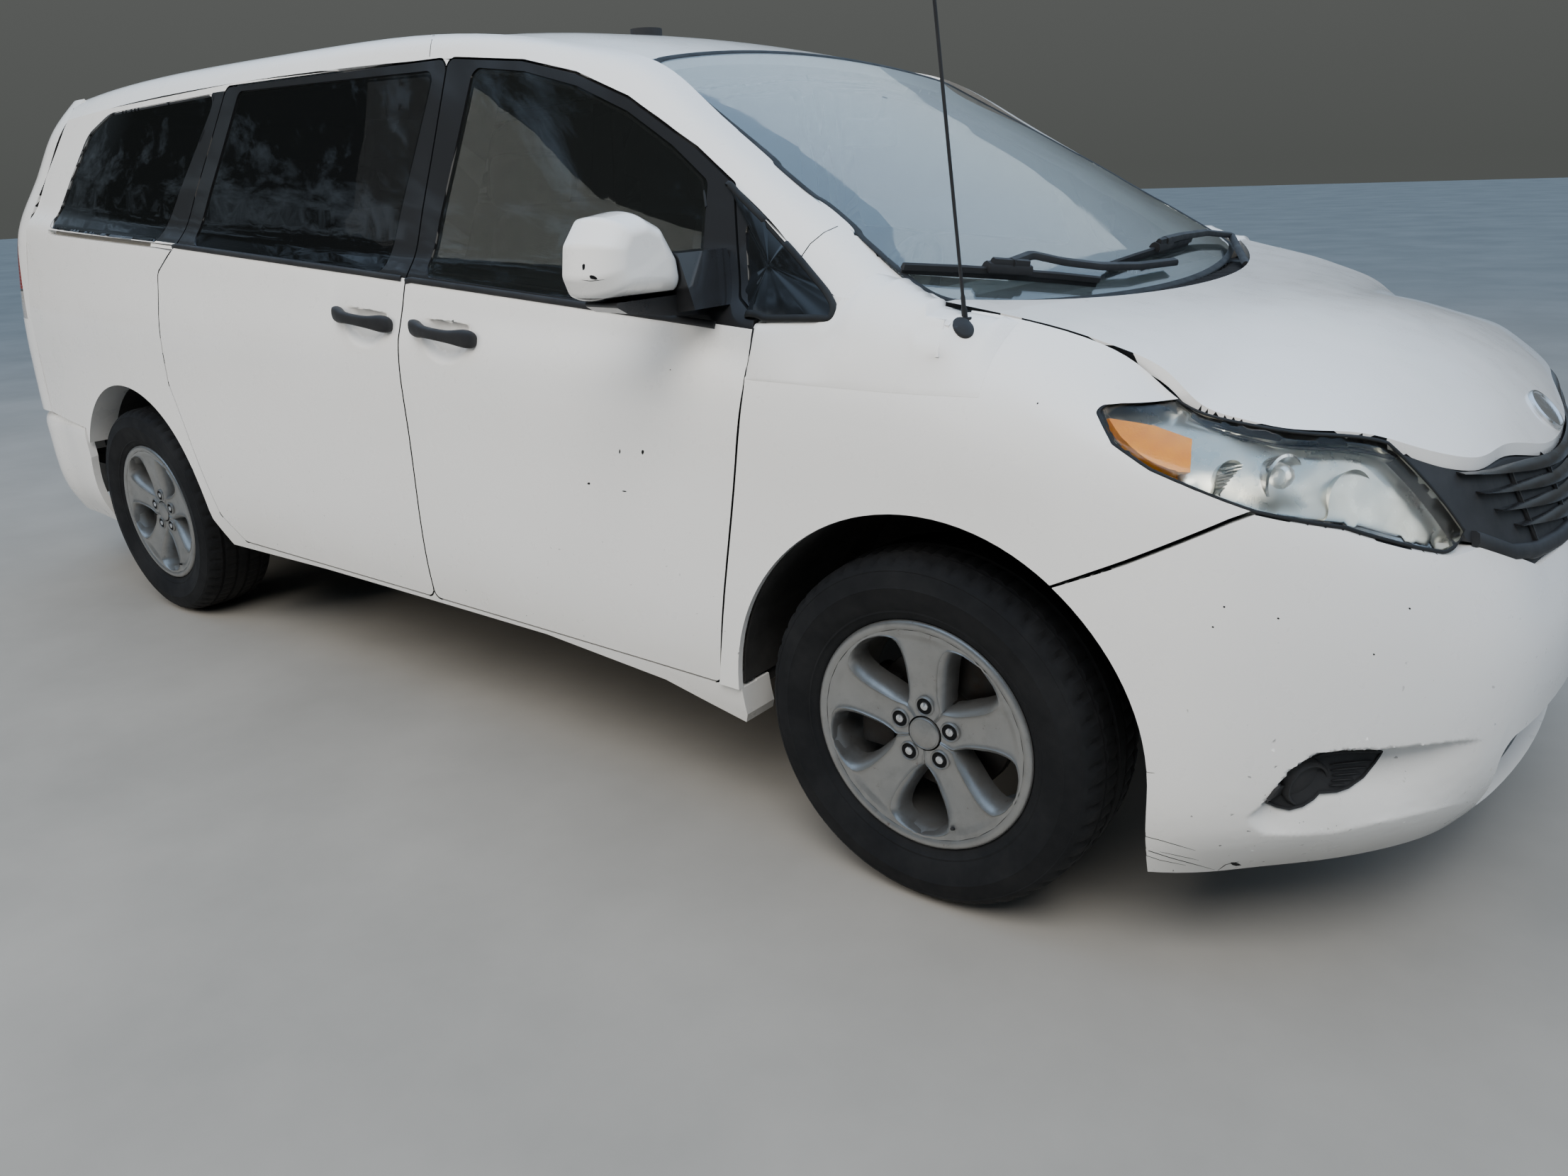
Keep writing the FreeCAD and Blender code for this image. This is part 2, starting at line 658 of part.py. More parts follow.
def hood_outline(gap):
    """Plan of the bonnet: the top line of the front corners, set in by a gap."""
    right = []
    for index in range(0, 13):
        top = front_column(index)[-1]
        right.append((top.x, top.y))
    points = []
    for i, (x, y) in enumerate(right):
        a = right[max(i - 1, 0)]
        b = right[min(i + 1, len(right) - 1)]
        dx, dy = b[0] - a[0], b[1] - a[1]
        size = math.hypot(dx, dy)
        if i == 0:
            points.append(V(x - gap, 0, 0))
            continue
        points.append(V(x + gap * dy / size, y - gap * dx / size, 0))
    corner = points[-1]
    left = [V(p.x, -p.y, 0) for p in reversed(points[1:])]
    side = Part.BSplineCurve()
    side.interpolate(left + points)
    rear = Part.Arc(points[-1], V(HOOD_REAR_X + gap - GAP, 0, 0), V(corner.x, -corner.y, 0))
    return Part.Wire([side.toShape(), rear.toShape()])


hood_grid = [[V(x, y, hood_z(x, y)) for y in spread(9, -860.0, 860.0)] for x in HOOD_COLUMNS]
HOOD_OVER = 15.0


def hood_slab(above, below, gap):
    """Bonnet between two heights from its outer surface, within its plan set in by a gap."""
    skin = surface(hood_grid).toShape()
    skin.translate(V(0, 0, above))
    plan = Part.Face(hood_outline(gap))
    plan.translate(V(0, 0, 600))
    return skin.extrude(V(0, 0, -above - below)).common(plan.extrude(V(0, 0, 800)))


hood = hood_slab(0.0, HOOD_T, GAP)
hood_room = hood_slab(HOOD_OVER, HOOD_T + GAP, 0.0)
fender = fender.cut(hood_room)
headlamp = headlamp.cut(hood_room)
grille = grille.cut(hood_room)

# Rear of the body by height: height, rearmost x, half width, depth of the corner
TAIL = (
    (640, -2478, 958, 330), (800, -2470, 957, 330), (1000, -2452, 951, 330), (1150, -2425, 938, 330),
    (1280, -2385, 920, 330), (1450, -2290, 852, 320), (1600, -2185, 800, 310), (1690, -2120, 735, 300),
)
REAR_ANGLES = (0, 7, 18, 32, 47, 62, 76)
CORNER_POWER = 2.0 / 3.0


def tail_point(angle, x0, depth, half):
    """Point round the rear left corner in plan: 0 degrees at the side, 90 at the middle of the tail."""
    turn = math.radians(angle)
    return x0 - depth * math.sin(turn) ** CORNER_POWER, half * math.cos(turn) ** CORNER_POWER


def tail_column(angle):
    points = []
    for z, rear, half, depth in TAIL:
        x, y = tail_point(angle, rear + depth, depth, half) if angle < 90 else (rear, 0.0)
        points.append(V(x, y, z))
    return points


tail_left = [tail_column(angle) for angle in REAR_ANGLES]
tail_grid = tail_left + [tail_column(90)] + [flip(column) for column in reversed(tail_left)]
TAILGATE = ((-705, 655), (705, 655), (735, 1270), (655, 1480), (585, 1690), (-585, 1690), (-655, 1480), (-735, 1270))
REAR_WINDOW = ((-610, 1262), (610, 1262), (535, 1625), (-535, 1625))
TAIL_BACK = -2700.0
TAIL_FRONT = -1900.0
tail_skin = plate(tail_grid, SKIN)
tail_body = plate(tail_grid, 55.0, 1.0, SKIN - 1.0)
tail_opening = front_prism(TAILGATE, TAIL_BACK, TAIL_FRONT, 30, GAP)
spoiler_grid = []
for x in (-2150.0, -2110.0, -2060.0, -2010.0, ROOF_REAR_X - GAP):
    half = table(EDGE, x, 1) - 30.0
    spoiler_grid.append([V(x, half * a, roof_z(x, half * a)) for a in spread(7, -1.0, 1.0)])
spoiler = plate(spoiler_grid, 32.0)
tailgate = tail_skin.common(front_prism(TAILGATE, TAIL_BACK, TAIL_FRONT, 30))
tailgate = tailgate.fuse(tail_body.common(front_prism(TAILGATE, TAIL_BACK, TAIL_FRONT, 30, -DOOR_STEP)))
tailgate = tailgate.cut(front_prism(REAR_WINDOW, TAIL_BACK, TAIL_FRONT, 50))
window_rebate = plate(tail_grid, GLASS_SINK + GLASS_T + FIT + 2.0, 1.0, -2.0)
window_rebate = window_rebate.common(front_prism(REAR_WINDOW, TAIL_BACK, TAIL_FRONT, 50, REBATE))
tailgate = tailgate.cut(window_rebate).fuse(spoiler)
tailgate_glass = plate(tail_grid, GLASS_T, 1.0, GLASS_SINK)
tailgate_glass = tailgate_glass.common(front_prism(REAR_WINDOW, TAIL_BACK, TAIL_FRONT, 50, REBATE - FIT))

# Tail lamp and the body corner round it, right-hand side
corner_grid = [flip(column) for column in reversed(tail_left)]
LAMP_REAR = ((-1000, 975), (-600, 975), (-600, 1268), (-1000, 1262))
LAMP_FRONT_X = -2165.0
lamp_zone = front_prism(LAMP_REAR, TAIL_BACK, LAMP_FRONT_X)
rear_corner = plate(corner_grid, SKIN).cut(tail_opening).cut(lamp_zone)
spoiler_room = block(-2300, ROOF_REAR_X, -720, 720, 1600, 1800)
rear_corner = rear_corner.cut(spoiler_room.common(block(-2300, ROOF_REAR_X, -655, 655, 1600, 1800)))
tail_lamp = plate(corner_grid, 45.0, 1.0, 0.0).common(lamp_zone).cut(tail_opening)

# Rear bumper: height and depth in of its levels
REAR_LEVELS = ((245, 55), (330, 18), (450, 2), (560, 0), (612, 8), (636, 40))
REAR_SIDE = ((-1850, 977), (-1980, 969))
BUMPER_X0 = -2110.0
BUMPER_HALF = 958.0


def ring_columns(plan, levels):
    """Columns of points for a plan line and its levels, set in square to the line."""
    columns = []
    for i, (x, y) in enumerate(plan):
        a = plan[max(i - 1, 0)]
        b = plan[min(i + 1, len(plan) - 1)]
        run = V(b[0] - a[0], b[1] - a[1], 0)
        inward = V(-run.y, run.x, 0)
        inward.normalize()
        columns.append([V(x, y, z) + inward * depth for z, depth in levels])
    return columns


rear_plan = list(REAR_SIDE)
for angle in REAR_ANGLES:
    rear_plan.append(tail_point(angle, BUMPER_X0, BUMPER_X0 - TAIL_X, BUMPER_HALF))
rear_plan = rear_plan + [(TAIL_X, 0.0)] + [(x, -y) for x, y in reversed(rear_plan)]
rear_bumper = plate(ring_columns(rear_plan, REAR_LEVELS), BUMPER_T - 2.0)
for y0, y1 in ((OUT, IN), (-IN, -OUT)):
    rear_bumper = rear_bumper.cut(wheel_cut(REAR_ARCH, ARCH_R, y0, y1))


# Floor, rails, bulkhead, towers and wheelhouse liners as one welded body
FLOOR_HALF = 872.0
TUNNEL_HALF = 640.0
RAIL_IN = 430.0
RAIL_OUT = 520.0
RAIL_LOW = 430.0
RAIL_TOP = 560.0
BULKHEAD_X = 1102.0
BEAM_X = 2384.0
REAR_BEAM_X = -2420.0
TOWER_Z = 945.0
TOWER_HALF_LENGTH = 110.0
ROD_R = 11.0
ROD_PLAY = 0.05
LINER_T = 5.0
LINER_IN = 535.0
COWL_TOP = 1040.0
JACK_FRONT_X = 820.0
JACK_REAR_X = -760.0
JACK_Y = 835.0
JACK_Z = 312.0
BUFFER_R = 9.0
BUFFER_SLACK = 0.35
steer_low = V(FRONT_AXLE_X, -STEER_LOW_Y, STEER_LOW_Z)
steer_top = V(FRONT_AXLE_X, -STEER_TOP_Y, STEER_TOP_Z)
steer_axis = steer_top - steer_low
steer_axis.normalize()


def steer_point(z):
    """Point on the right-hand steering axis at a height."""
    return steer_low + steer_axis * ((z - STEER_LOW_Z) / steer_axis.z)


def liner(centre, inner, outer):
    """Right-hand wheelhouse: half-round shell with an inner wall, open below the hub."""
    x, z = centre
    axis = V(0, 1, 0)
    drum = Part.makeCylinder(ARCH_R + LINER_T, inner - outer + LINER_T, V(x, outer, z), axis)
    space = Part.makeCylinder(ARCH_R, inner - outer, V(x, outer, z), axis)
    ring = drum.cut(space)
    return ring.cut(block(x - 600, x + 600, outer - 50, inner + 50, z - 600, z))


def both(shape):
    return [shape, mirrored(shape)]


front_liner = liner(FRONT_ARCH, -LINER_IN, -960.0)
front_liner = front_liner.cut(plate(front_grid(2, 15), SKIN + 1.0)).cut(plate(front_grid(2, 10), BUMPER_T + 1.0))
strut_hole = rod(steer_point(700), steer_point(900), 96.0)
front_liner = front_liner.cut(strut_hole)
rear_liner = liner(REAR_ARCH, -TUNNEL_HALF, -884.0)
rear_liner = rear_liner.cut(block(REAR_AXLE_X - 80, REAR_AXLE_X + 80, -660, -610, 350, 425))
floor = block(-1010, BULKHEAD_X + 50, -FLOOR_HALF, FLOOR_HALF, FLOOR_Z, FLOOR_Z + FLOOR_T)
rear_floor = block(-2400, -990, -TUNNEL_HALF, TUNNEL_HALF, 440, 480)
rear_wings = block(-2120, -1870, -874, 874, 440, 480)
step_up = block(-1030, -990, -TUNNEL_HALF, TUNNEL_HALF, FLOOR_Z, 480)
bulkhead = block(BULKHEAD_X, BULKHEAD_X + 50, -FLOOR_HALF, FLOOR_HALF, FLOOR_Z, 700)
bulkhead = bulkhead.fuse(block(BULKHEAD_X, BULKHEAD_X + 50, -840, 840, 700, COWL_TOP))
cowl_box = block(BULKHEAD_X, 1500, -800, 800, COWL_TOP - 40, COWL_TOP)
body_parts = [floor, rear_floor, rear_wings, step_up, bulkhead, cowl_box]
body_parts.append(block(REAR_BEAM_X, REAR_BEAM_X + 50, -700, 700, 430, 560))
body_parts.append(block(-2448, -2400, -30, 30, 520, 655 + DOOR_STEP - SEAT_GAP))
body_parts.append(block(BEAM_X, BEAM_X + 34, -560, 560, 450, 570))
body_parts.append(block(2185, 2215, -600, 600, 250, 330))
body_parts.append(block(2185, 2215, -600, 600, 770, 800))
half_parts = [
    block(BULKHEAD_X, BEAM_X + 5, -RAIL_OUT, -RAIL_IN, RAIL_LOW, RAIL_TOP),
    block(BULKHEAD_X, BULKHEAD_X + 60, -RAIL_OUT, -RAIL_IN, FLOOR_Z, RAIL_TOP),
    block(2185, 2215, -600, -560, 250, 800),
    block(2150, 2215, -RAIL_OUT, -RAIL_IN, 250, RAIL_TOP),
    block(FRONT_AXLE_X - TOWER_HALF_LENGTH, FRONT_AXLE_X + TOWER_HALF_LENGTH, -LINER_IN, -505, RAIL_TOP - 30, TOWER_Z),
    block(FRONT_AXLE_X - TOWER_HALF_LENGTH, FRONT_AXLE_X + TOWER_HALF_LENGTH, -720, -505, TOWER_Z - 18, TOWER_Z),
    block(BULKHEAD_X, 1900, -790, -700, 880, TOWER_Z - 18),
    block(FRONT_AXLE_X - TOWER_HALF_LENGTH, FRONT_AXLE_X + TOWER_HALF_LENGTH, -720, -700, 880, TOWER_Z),
    block(1250, 1750, -962, -700, 880, 900),
    block(1860, 1900, -790, -505, RAIL_LOW, TOWER_Z - 18).cut(wheel_cut(FRONT_ARCH, ARCH_R + 1, OUT, IN)),
    front_liner, rear_liner,
    block(-2400, -1900, -640, -560, 440, 520),
]
for part in half_parts:
    body_parts.extend(both(part))
for x in (JACK_FRONT_X, JACK_REAR_X):
    body_parts.extend(both(block(x - 40, x + 40, -JACK_Y - 15, -JACK_Y + 15, JACK_Z, FLOOR_Z + 10)))
for side in (-1, 1):
    x, y = 2200.0, side * 420.0
    lean_x = (hood_z(x + 5, y) - hood_z(x - 5, y)) / 10
    lean_y = (hood_z(x, y + 5) - hood_z(x, y - 5)) / 10
    drop = (BUFFER_R + SEAT_GAP) * math.sqrt(1 + lean_x ** 2 + lean_y ** 2)
    top = V(x, y, hood_z(x, y) - HOOD_T - drop - BUFFER_SLACK)
    body_parts.append(rod(V(x, y, 790), top, BUFFER_R))
    body_parts.append(Part.makeSphere(BUFFER_R, top))
underbody = joined(body_parts)
for sign in (1, -1):
    top_hole = rod(steer_point(TOWER_Z - 60), steer_point(TOWER_Z + 60), ROD_R + ROD_PLAY)
    underbody = underbody.cut(top_hole if sign > 0 else mirrored(top_hole))

# Front knuckle with its strut, right-hand side, drawn about the steering axis
WHEEL_Y = -TRACK / 2
STUB_R = 20.0
STUB_END = 55.0
HUB_FACE = 34.0
hub_y = WHEEL_Y + HUB_FACE
knuckle = rod(V(FRONT_AXLE_X, hub_y + 62, AXLE_Z), V(FRONT_AXLE_X, hub_y + 14, AXLE_Z), 46.0)
knuckle = knuckle.fuse(rod(V(FRONT_AXLE_X, hub_y + 14, AXLE_Z), V(FRONT_AXLE_X, WHEEL_Y - STUB_END, AXLE_Z), STUB_R))
knuckle = knuckle.fuse(rod(steer_point(STEER_LOW_Z + 22), steer_point(STEER_LOW_Z + 46), 22.0))
knuckle = knuckle.fuse(rod(steer_point(STEER_LOW_Z + 30), steer_point(520), 25.0))
knuckle = knuckle.fuse(rod(steer_point(480), steer_point(752), 27.0))
knuckle = knuckle.fuse(rod(steer_point(752), steer_point(762), 72.0))
knuckle = knuckle.fuse(rod(steer_point(762), steer_point(TOWER_Z + 12), ROD_R))
knuckle = knuckle.fuse(rod(steer_point(762), steer_point(TOWER_Z - 45), 50.0))
for z in (772, 801, 830, 859, 886):
    knuckle = knuckle.fuse(rod(steer_point(z), steer_point(z + 12), 62.0))
knuckle = knuckle.fuse(block(FRONT_AXLE_X - 30, FRONT_AXLE_X + 30, hub_y + 14, hub_y + 66, AXLE_Z - 40, AXLE_Z + 40))

# Front subframe and lower arms
ARM_Z = 205.0
subframe_parts = [
    block(1420, 1480, -420, 420, 240, 300),
    block(1690, 1750, -420, 420, 240, 300),
]
for side in (-1, 1):
    y0, y1 = sorted((side * 360, side * 420))
    subframe_parts.append(block(1420, 1750, y0, y1, 240, 300))
    y0, y1 = sorted((side * 435, side * 500))
    subframe_parts.append(block(1430, 1470, y0, y1, 260, RAIL_LOW - SEAT_GAP))
    y0, y1 = sorted((side * 400, side * 500))
    subframe_parts.append(block(1430, 1470, y0, y1, 240, 300))
    inner_front = V(1700, side * 400, 262)
    inner_rear = V(1450, side * 400, 262)
    ball = V(FRONT_AXLE_X, side * (STEER_LOW_Y - 2), ARM_Z)
    subframe_parts.append(rod(inner_front, ball, 17.0))
    subframe_parts.append(rod(inner_rear, ball, 17.0))
    subframe_parts.append(Part.makeSphere(20.0, ball))
front_subframe = joined(subframe_parts)

# Rear twist beam, trailing arms, stub axles, springs and dampers
BEAM_AXLE_X = REAR_AXLE_X + 190.0
BUSH_X = REAR_AXLE_X + 350.0
REAR_FLOOR_Z = 440.0
rear_parts = [rod(V(BEAM_AXLE_X, -600, 330), V(BEAM_AXLE_X, 600, 330), 42.0)]
for side in (-1, 1):
    bush = V(BUSH_X, side * 560, 350)
    hub = V(REAR_AXLE_X, side * 590, AXLE_Z)
    across = V(0, side, 0)
    rear_parts.append(rod(bush - across * 40, bush + across * 40, 34.0))
    rear_parts.append(rod(V(BUSH_X, side * 560, 350), V(BUSH_X, side * 560, REAR_FLOOR_Z - SEAT_GAP), 16.0))
    rear_parts.append(rod(bush, hub, 28.0))
    rear_parts.append(rod(hub - across * 10, V(REAR_AXLE_X, -side * (WHEEL_Y + 48), AXLE_Z), 44.0))
    rear_parts.append(rod(hub, V(REAR_AXLE_X, -side * (WHEEL_Y - STUB_END), AXLE_Z), STUB_R))
    spring_foot = V(REAR_AXLE_X + 60, side * 560, 330)
    rear_parts.append(rod(spring_foot, V(REAR_AXLE_X + 60, side * 560, REAR_FLOOR_Z - SEAT_GAP), 52.0))
    y0, y1 = sorted((side * 520, side * 605))
    rear_parts.append(block(REAR_AXLE_X + 20, REAR_AXLE_X + 180, y0, y1, 310, 345))
rear_axle = joined(rear_parts)


# Wheels: right-hand side drawn about Y at the origin, outer face towards -Y
def turned(profile):
    """Solid of revolution about Y from points of radius and y."""
    wire = Part.makePolygon([V(r, y, 0) for r, y in profile] + [V(profile[0][0], profile[0][1], 0)])
    return Part.Face(wire).revolve(V(0, 0, 0), V(0, 1, 0), 360)


HALF_T = TYRE_W / 2
TYRE_PROFILE = (
    (BEAD_R, -RIM_W / 2 + 13), (RIM_R + 0.5, -RIM_W / 2 + 4.6), (RIM_R + 4, -RIM_W / 2 - 4), (270, -HALF_T + 4),
    (300, -HALF_T),
    (330, -HALF_T + 6), (347, -HALF_T + 22), (354, -HALF_T + 45), (TYRE_R, 0),
    (354, HALF_T - 45), (347, HALF_T - 22), (330, HALF_T - 6), (300, HALF_T), (270, HALF_T - 4),
    (RIM_R + 4, RIM_W / 2 + 4), (RIM_R + 0.5, RIM_W / 2 - 4.6), (BEAD_R, RIM_W / 2 - 13),
    (BEAD_R + 16, RIM_W / 2 - 24), (300, 70), (335, 50),
    (337, 0), (335, -50), (300, -70), (BEAD_R + 16, -RIM_W / 2 + 24),
)
tyre = turned(TYRE_PROFILE)
BARREL_PROFILE = (
    (BEAD_R - 12, -RIM_W / 2 + 10), (RIM_R, -RIM_W / 2 - 2), (RIM_R, -RIM_W / 2 + 4), (BEAD_R - FIT, -RIM_W / 2 + 12),
    (BEAD_R - FIT, -RIM_W / 2 + 34), (BEAD_R - 18, -RIM_W / 2 + 60), (BEAD_R - 18, RIM_W / 2 - 45),
    (BEAD_R - FIT, RIM_W / 2 - 28), (BEAD_R - FIT, RIM_W / 2 - 12), (RIM_R, RIM_W / 2 - 4), (RIM_R, RIM_W / 2 + 2),
    (BEAD_R - 10, RIM_W / 2 - 10), (BEAD_R - 10, RIM_W / 2 - 26), (BEAD_R - 26, RIM_W / 2 - 44),
    (BEAD_R - 26, -RIM_W / 2 + 58), (BEAD_R - 10, -RIM_W / 2 + 32),
)
rim = turned(BARREL_PROFILE)
HUB_PROFILE = ((0, -78), (30, -80), (34, -74), (HUB_R, -70), (HUB_R + 4, -58), (HUB_R, -30), (0, -30))
rim = rim.fuse(turned(HUB_PROFILE))
SPOKE_INNER_HALF = 33.0
SPOKE_OUTER_HALF = 62.0
for spoke in range(SPOKES):
    outline = [(SPOKE_INNER_HALF, 40), (SPOKE_OUTER_HALF, 214), (-SPOKE_OUTER_HALF, 214), (-SPOKE_INNER_HALF, 40)]
    wire = Part.makePolygon([V(a, -100, b) for a, b in outline] + [V(outline[0][0], -100, outline[0][1])])
    bar = Part.Face(wire).extrude(V(0, 80, 0))
    web = turned(((30, -72), (150, -86), (212, -92), (212, -62), (150, -60), (30, -44)))
    bar = bar.common(web)
    bar.rotate(V(0, 0, 0), V(0, 1, 0), 360.0 / SPOKES * spoke)
    rim = rim.fuse(bar)
for lug in range(SPOKES):
    angle = math.radians(360.0 / SPOKES * (lug + 0.5))
    place = V(LUG_CIRCLE_R * math.sin(angle), 0, LUG_CIRCLE_R * math.cos(angle))
    rim = rim.cut(rod(place + V(0, -90, 0), place + V(0, -52, 0), LUG_R + 4))
    rim = rim.fuse(rod(place + V(0, -72, 0), place + V(0, -44, 0), LUG_R - 2))
DISC_Y = 4.0
rim = rim.fuse(turned(((0, -30), (64, -30), (64, DISC_Y), (DISC_R, DISC_Y), (DISC_R, DISC_Y + DISC_T), (56, DISC_Y + DISC_T), (56, -14), (0, -14))))
rim = rim.cut(rod(V(0, -STUB_END - 2, 0), V(0, 200, 0), STUB_R + ROD_PLAY))


def wheel_at(shape, x, left):
    placed = shape.copy()
    placed.translate(V(x, WHEEL_Y, AXLE_Z))
    return mirrored(placed) if left else placed


# Engine, radiator, exhaust and tank
engine_block = block(1330, 1900, -380, 380, 420, 900, 40)
engine_feet = [block(1440, 1480, -300, -240, 300.3, 420), block(1440, 1480, 240, 300, 300.3, 420)]
engine_block = joined([engine_block] + engine_feet)
radiator = block(2120, 2170, -380, 380, 330.3, 740)
for side in (-1, 1):
    radiator = radiator.fuse(block(2120, 2185 - SEAT_GAP, side * 320 - 20, side * 320 + 20, 300, 345))
PIPE_Z = 250.0
PIPE_R = 28.0
exhaust = joined([
    rod(V(1375, 60, PIPE_Z), V(1375, 60, 420 - SEAT_GAP), PIPE_R),
    Part.makeSphere(PIPE_R, V(1375, 60, PIPE_Z)),
    rod(V(1375, 60, PIPE_Z), V(-900, 60, PIPE_Z), PIPE_R),
    Part.makeSphere(PIPE_R, V(-900, 60, PIPE_Z)),
    rod(V(-900, 60, PIPE_Z), V(-1650, 200, PIPE_Z), PIPE_R),
    rod(V(-1700, -250, 310), V(-1700, 480, 310), 80.0),
    rod(V(-1700, 440, 290), V(-2420, 520, 262), 24.0),
    block(-1720, -1680, 100, 140, 380, REAR_FLOOR_Z - SEAT_GAP),
    block(480, 520, 40, 80, 260, FLOOR_Z - SEAT_GAP),
])
fuel_tank = block(-760, -60, 130, 640, 205, FLOOR_Z - SEAT_GAP, 60)

# Cabin
dashboard_profile = ((1095, 600), (1095, 1020), (960, 1050), (800, 1000), (760, 900), (800, 780), (900, 640))
dashboard = side_prism(dashboard_profile, -790, 790, 40)
dashboard = dashboard.fuse(block(760, 1000, -130, 130, FLOOR_Z + FLOOR_T + SEAT_GAP, 800))
SEAT_PROFILE = (
    (0, 0), (470, 20), (500, 90), (440, 130), (70, 90), (-90, 560), (-110, 640), (-120, 740), (-190, 760),
    (-205, 560), (-80, 20),
)


def seat(x, y, z, width, floor_z):
    profile = [(x + a, z + b) for a, b in SEAT_PROFILE]
    shell = side_prism(profile, y - width / 2, y + width / 2, 24)
    feet = block(x + 20, x + 400, y - width * 0.35, y + width * 0.35, floor_z + SEAT_GAP, z + 30)
    return shell.fuse(feet)


CABIN_FLOOR = FLOOR_Z + FLOOR_T
front_seats = [seat(150, y, 690, 520, CABIN_FLOOR) for y in (-400, 400)]
rear_seats = [seat(-720, y, 690, 500, CABIN_FLOOR) for y in (-430, 430)]
rear_seats.append(seat(-1560, 0, 740, 1180, 480))

WHEEL_HUB = V(700, 400, 1000)
COLUMN_DIR = V(1, 0, -0.42)
COLUMN_DIR.normalize()
steering_wheel = Part.makeTorus(180.0, 15.0, WHEEL_HUB, COLUMN_DIR)
steering_wheel = steering_wheel.fuse(rod(WHEEL_HUB - COLUMN_DIR * 10, WHEEL_HUB + COLUMN_DIR * 45, 58.0))
for angle in (0, 180, 90):
    turn = math.radians(angle)
    flat = V(0, 1, 0) * math.cos(turn) + COLUMN_DIR.cross(V(0, 1, 0)) * math.sin(turn)
    steering_wheel = steering_wheel.fuse(rod(WHEEL_HUB + COLUMN_DIR * 12, WHEEL_HUB + flat * 176, 13.0))
column = rod(WHEEL_HUB + COLUMN_DIR * 45.3, WHEEL_HUB + COLUMN_DIR * 160, 40.0)
dashboard = dashboard.fuse(column)

# Cowl between the windscreen and the bonnet, and the wipers on it
cowl_shape = plan_prism(
    ((1500, -790), (1545, -800), (1588, -828), (1690, -500), (1738, 0), (1690, 500), (1588, 828), (1545, 800),
     (1500, 790)), COWL_TOP + SEAT_GAP, 1090.0)
cowl_panel = cowl_shape.cut(plate(screen_grid, 40.0, 1.0, -FIT))
BLADE_R = 6.0
ARM_R = 5.0
WIPER_LIFT = 14.0
COWL_FACE = 1090.0
wipers = []
# Blade ends across and up the glass, then the pivot's x and y
for a0, u0, a1, u1, pivot_x, pivot_y in ((-0.90, 0.045, -0.05, 0.075, 1700, 130), (0.02, 0.08, 0.84, 0.075, 1622, 640)):
    lift = V(0.45 * WIPER_LIFT, 0, 0.9 * WIPER_LIFT)
    start = screen_point(a0, u0) + lift
    end = screen_point(a1, u1) + lift
    middle = screen_point((a0 + a1) / 2, (u0 + u1) / 2) + lift * 1.6
    pivot = V(pivot_x, pivot_y, COWL_FACE + 24)
    blade = rod(start, middle, BLADE_R).fuse(rod(middle, end, BLADE_R))
    blade = blade.fuse(Part.makeSphere(BLADE_R + 3, middle)).fuse(rod(pivot, middle, ARM_R))
    blade = blade.fuse(rod(V(pivot_x, pivot_y, COWL_FACE + SEAT_GAP), pivot + V(0, 0, 8), 11.0))
    wipers.append(largest(blade.cut(hood_room)))

# Door mirror, right-hand side
MIRROR = (
    (-990, 1152), (-1000, 1215), (-1045, 1284), (-1098, 1308), (-1168, 1300), (-1205, 1255), (-1214, 1200),
    (-1198, 1160),
)
# Sections of the mirror housing from its glass to its nose: x, share of full size
MIRROR_SECTIONS = ((1000, 0.95), (1030, 1.0), (1072, 0.95), (1104, 0.78), (1118, 0.45))
MIRROR_ARM = ((-1190, 1157), (-1150, 1136), (-1040, 1120), (-900, 1108), (-900, 1150), (-985, 1156))
MIRROR_SAIL = ((1052, 1118), (1052, 1230), (1104, 1230), (1140, 1130))
mirror_y = sum(point[0] for point in MIRROR) / len(MIRROR)
mirror_z = sum(point[1] for point in MIRROR) / len(MIRROR)
mirror_wires = []
for x, share in MIRROR_SECTIONS:
    ring = [(mirror_y + (y - mirror_y) * share, mirror_z + (z - mirror_z) * share) for y, z in MIRROR]
    mirror_wires.append(rounded_wire(ring, 22.0 * share, lambda a, b: V(x, a, b)))
mirror = Part.makeLoft(mirror_wires, True, False)
mirror = mirror.fuse(front_prism(MIRROR_ARM, 1015, 1095, 6.0))
mirror = mirror.fuse(side_prism(MIRROR_SAIL, -1020, -880))
door_clear = side_slab(-0.3, WALL + 60)
mirror = mirror.cut(door_clear)

# Antenna on the right front fender and puck on the roof
antenna_foot = V(1619, -872, 1104)
antenna_tip = V(1541, -880, 1745)
antenna = rod(antenna_foot, antenna_tip, 3.0).fuse(rod(antenna_foot - V(0, 0, 25), antenna_foot + V(0, 0, 15), 10.0))
antenna = largest(antenna.cut(plate(front_grid(5, 15), 60.0, 1.0, -FIT)))
pod = rod(V(100, 0, roof_z(100, 0) - 10), V(100, 0, roof_z(100, 0) + 30), 45.0)
pod = pod.cut(plate(roof_grid, ROOF_T, 1.0, -FIT))

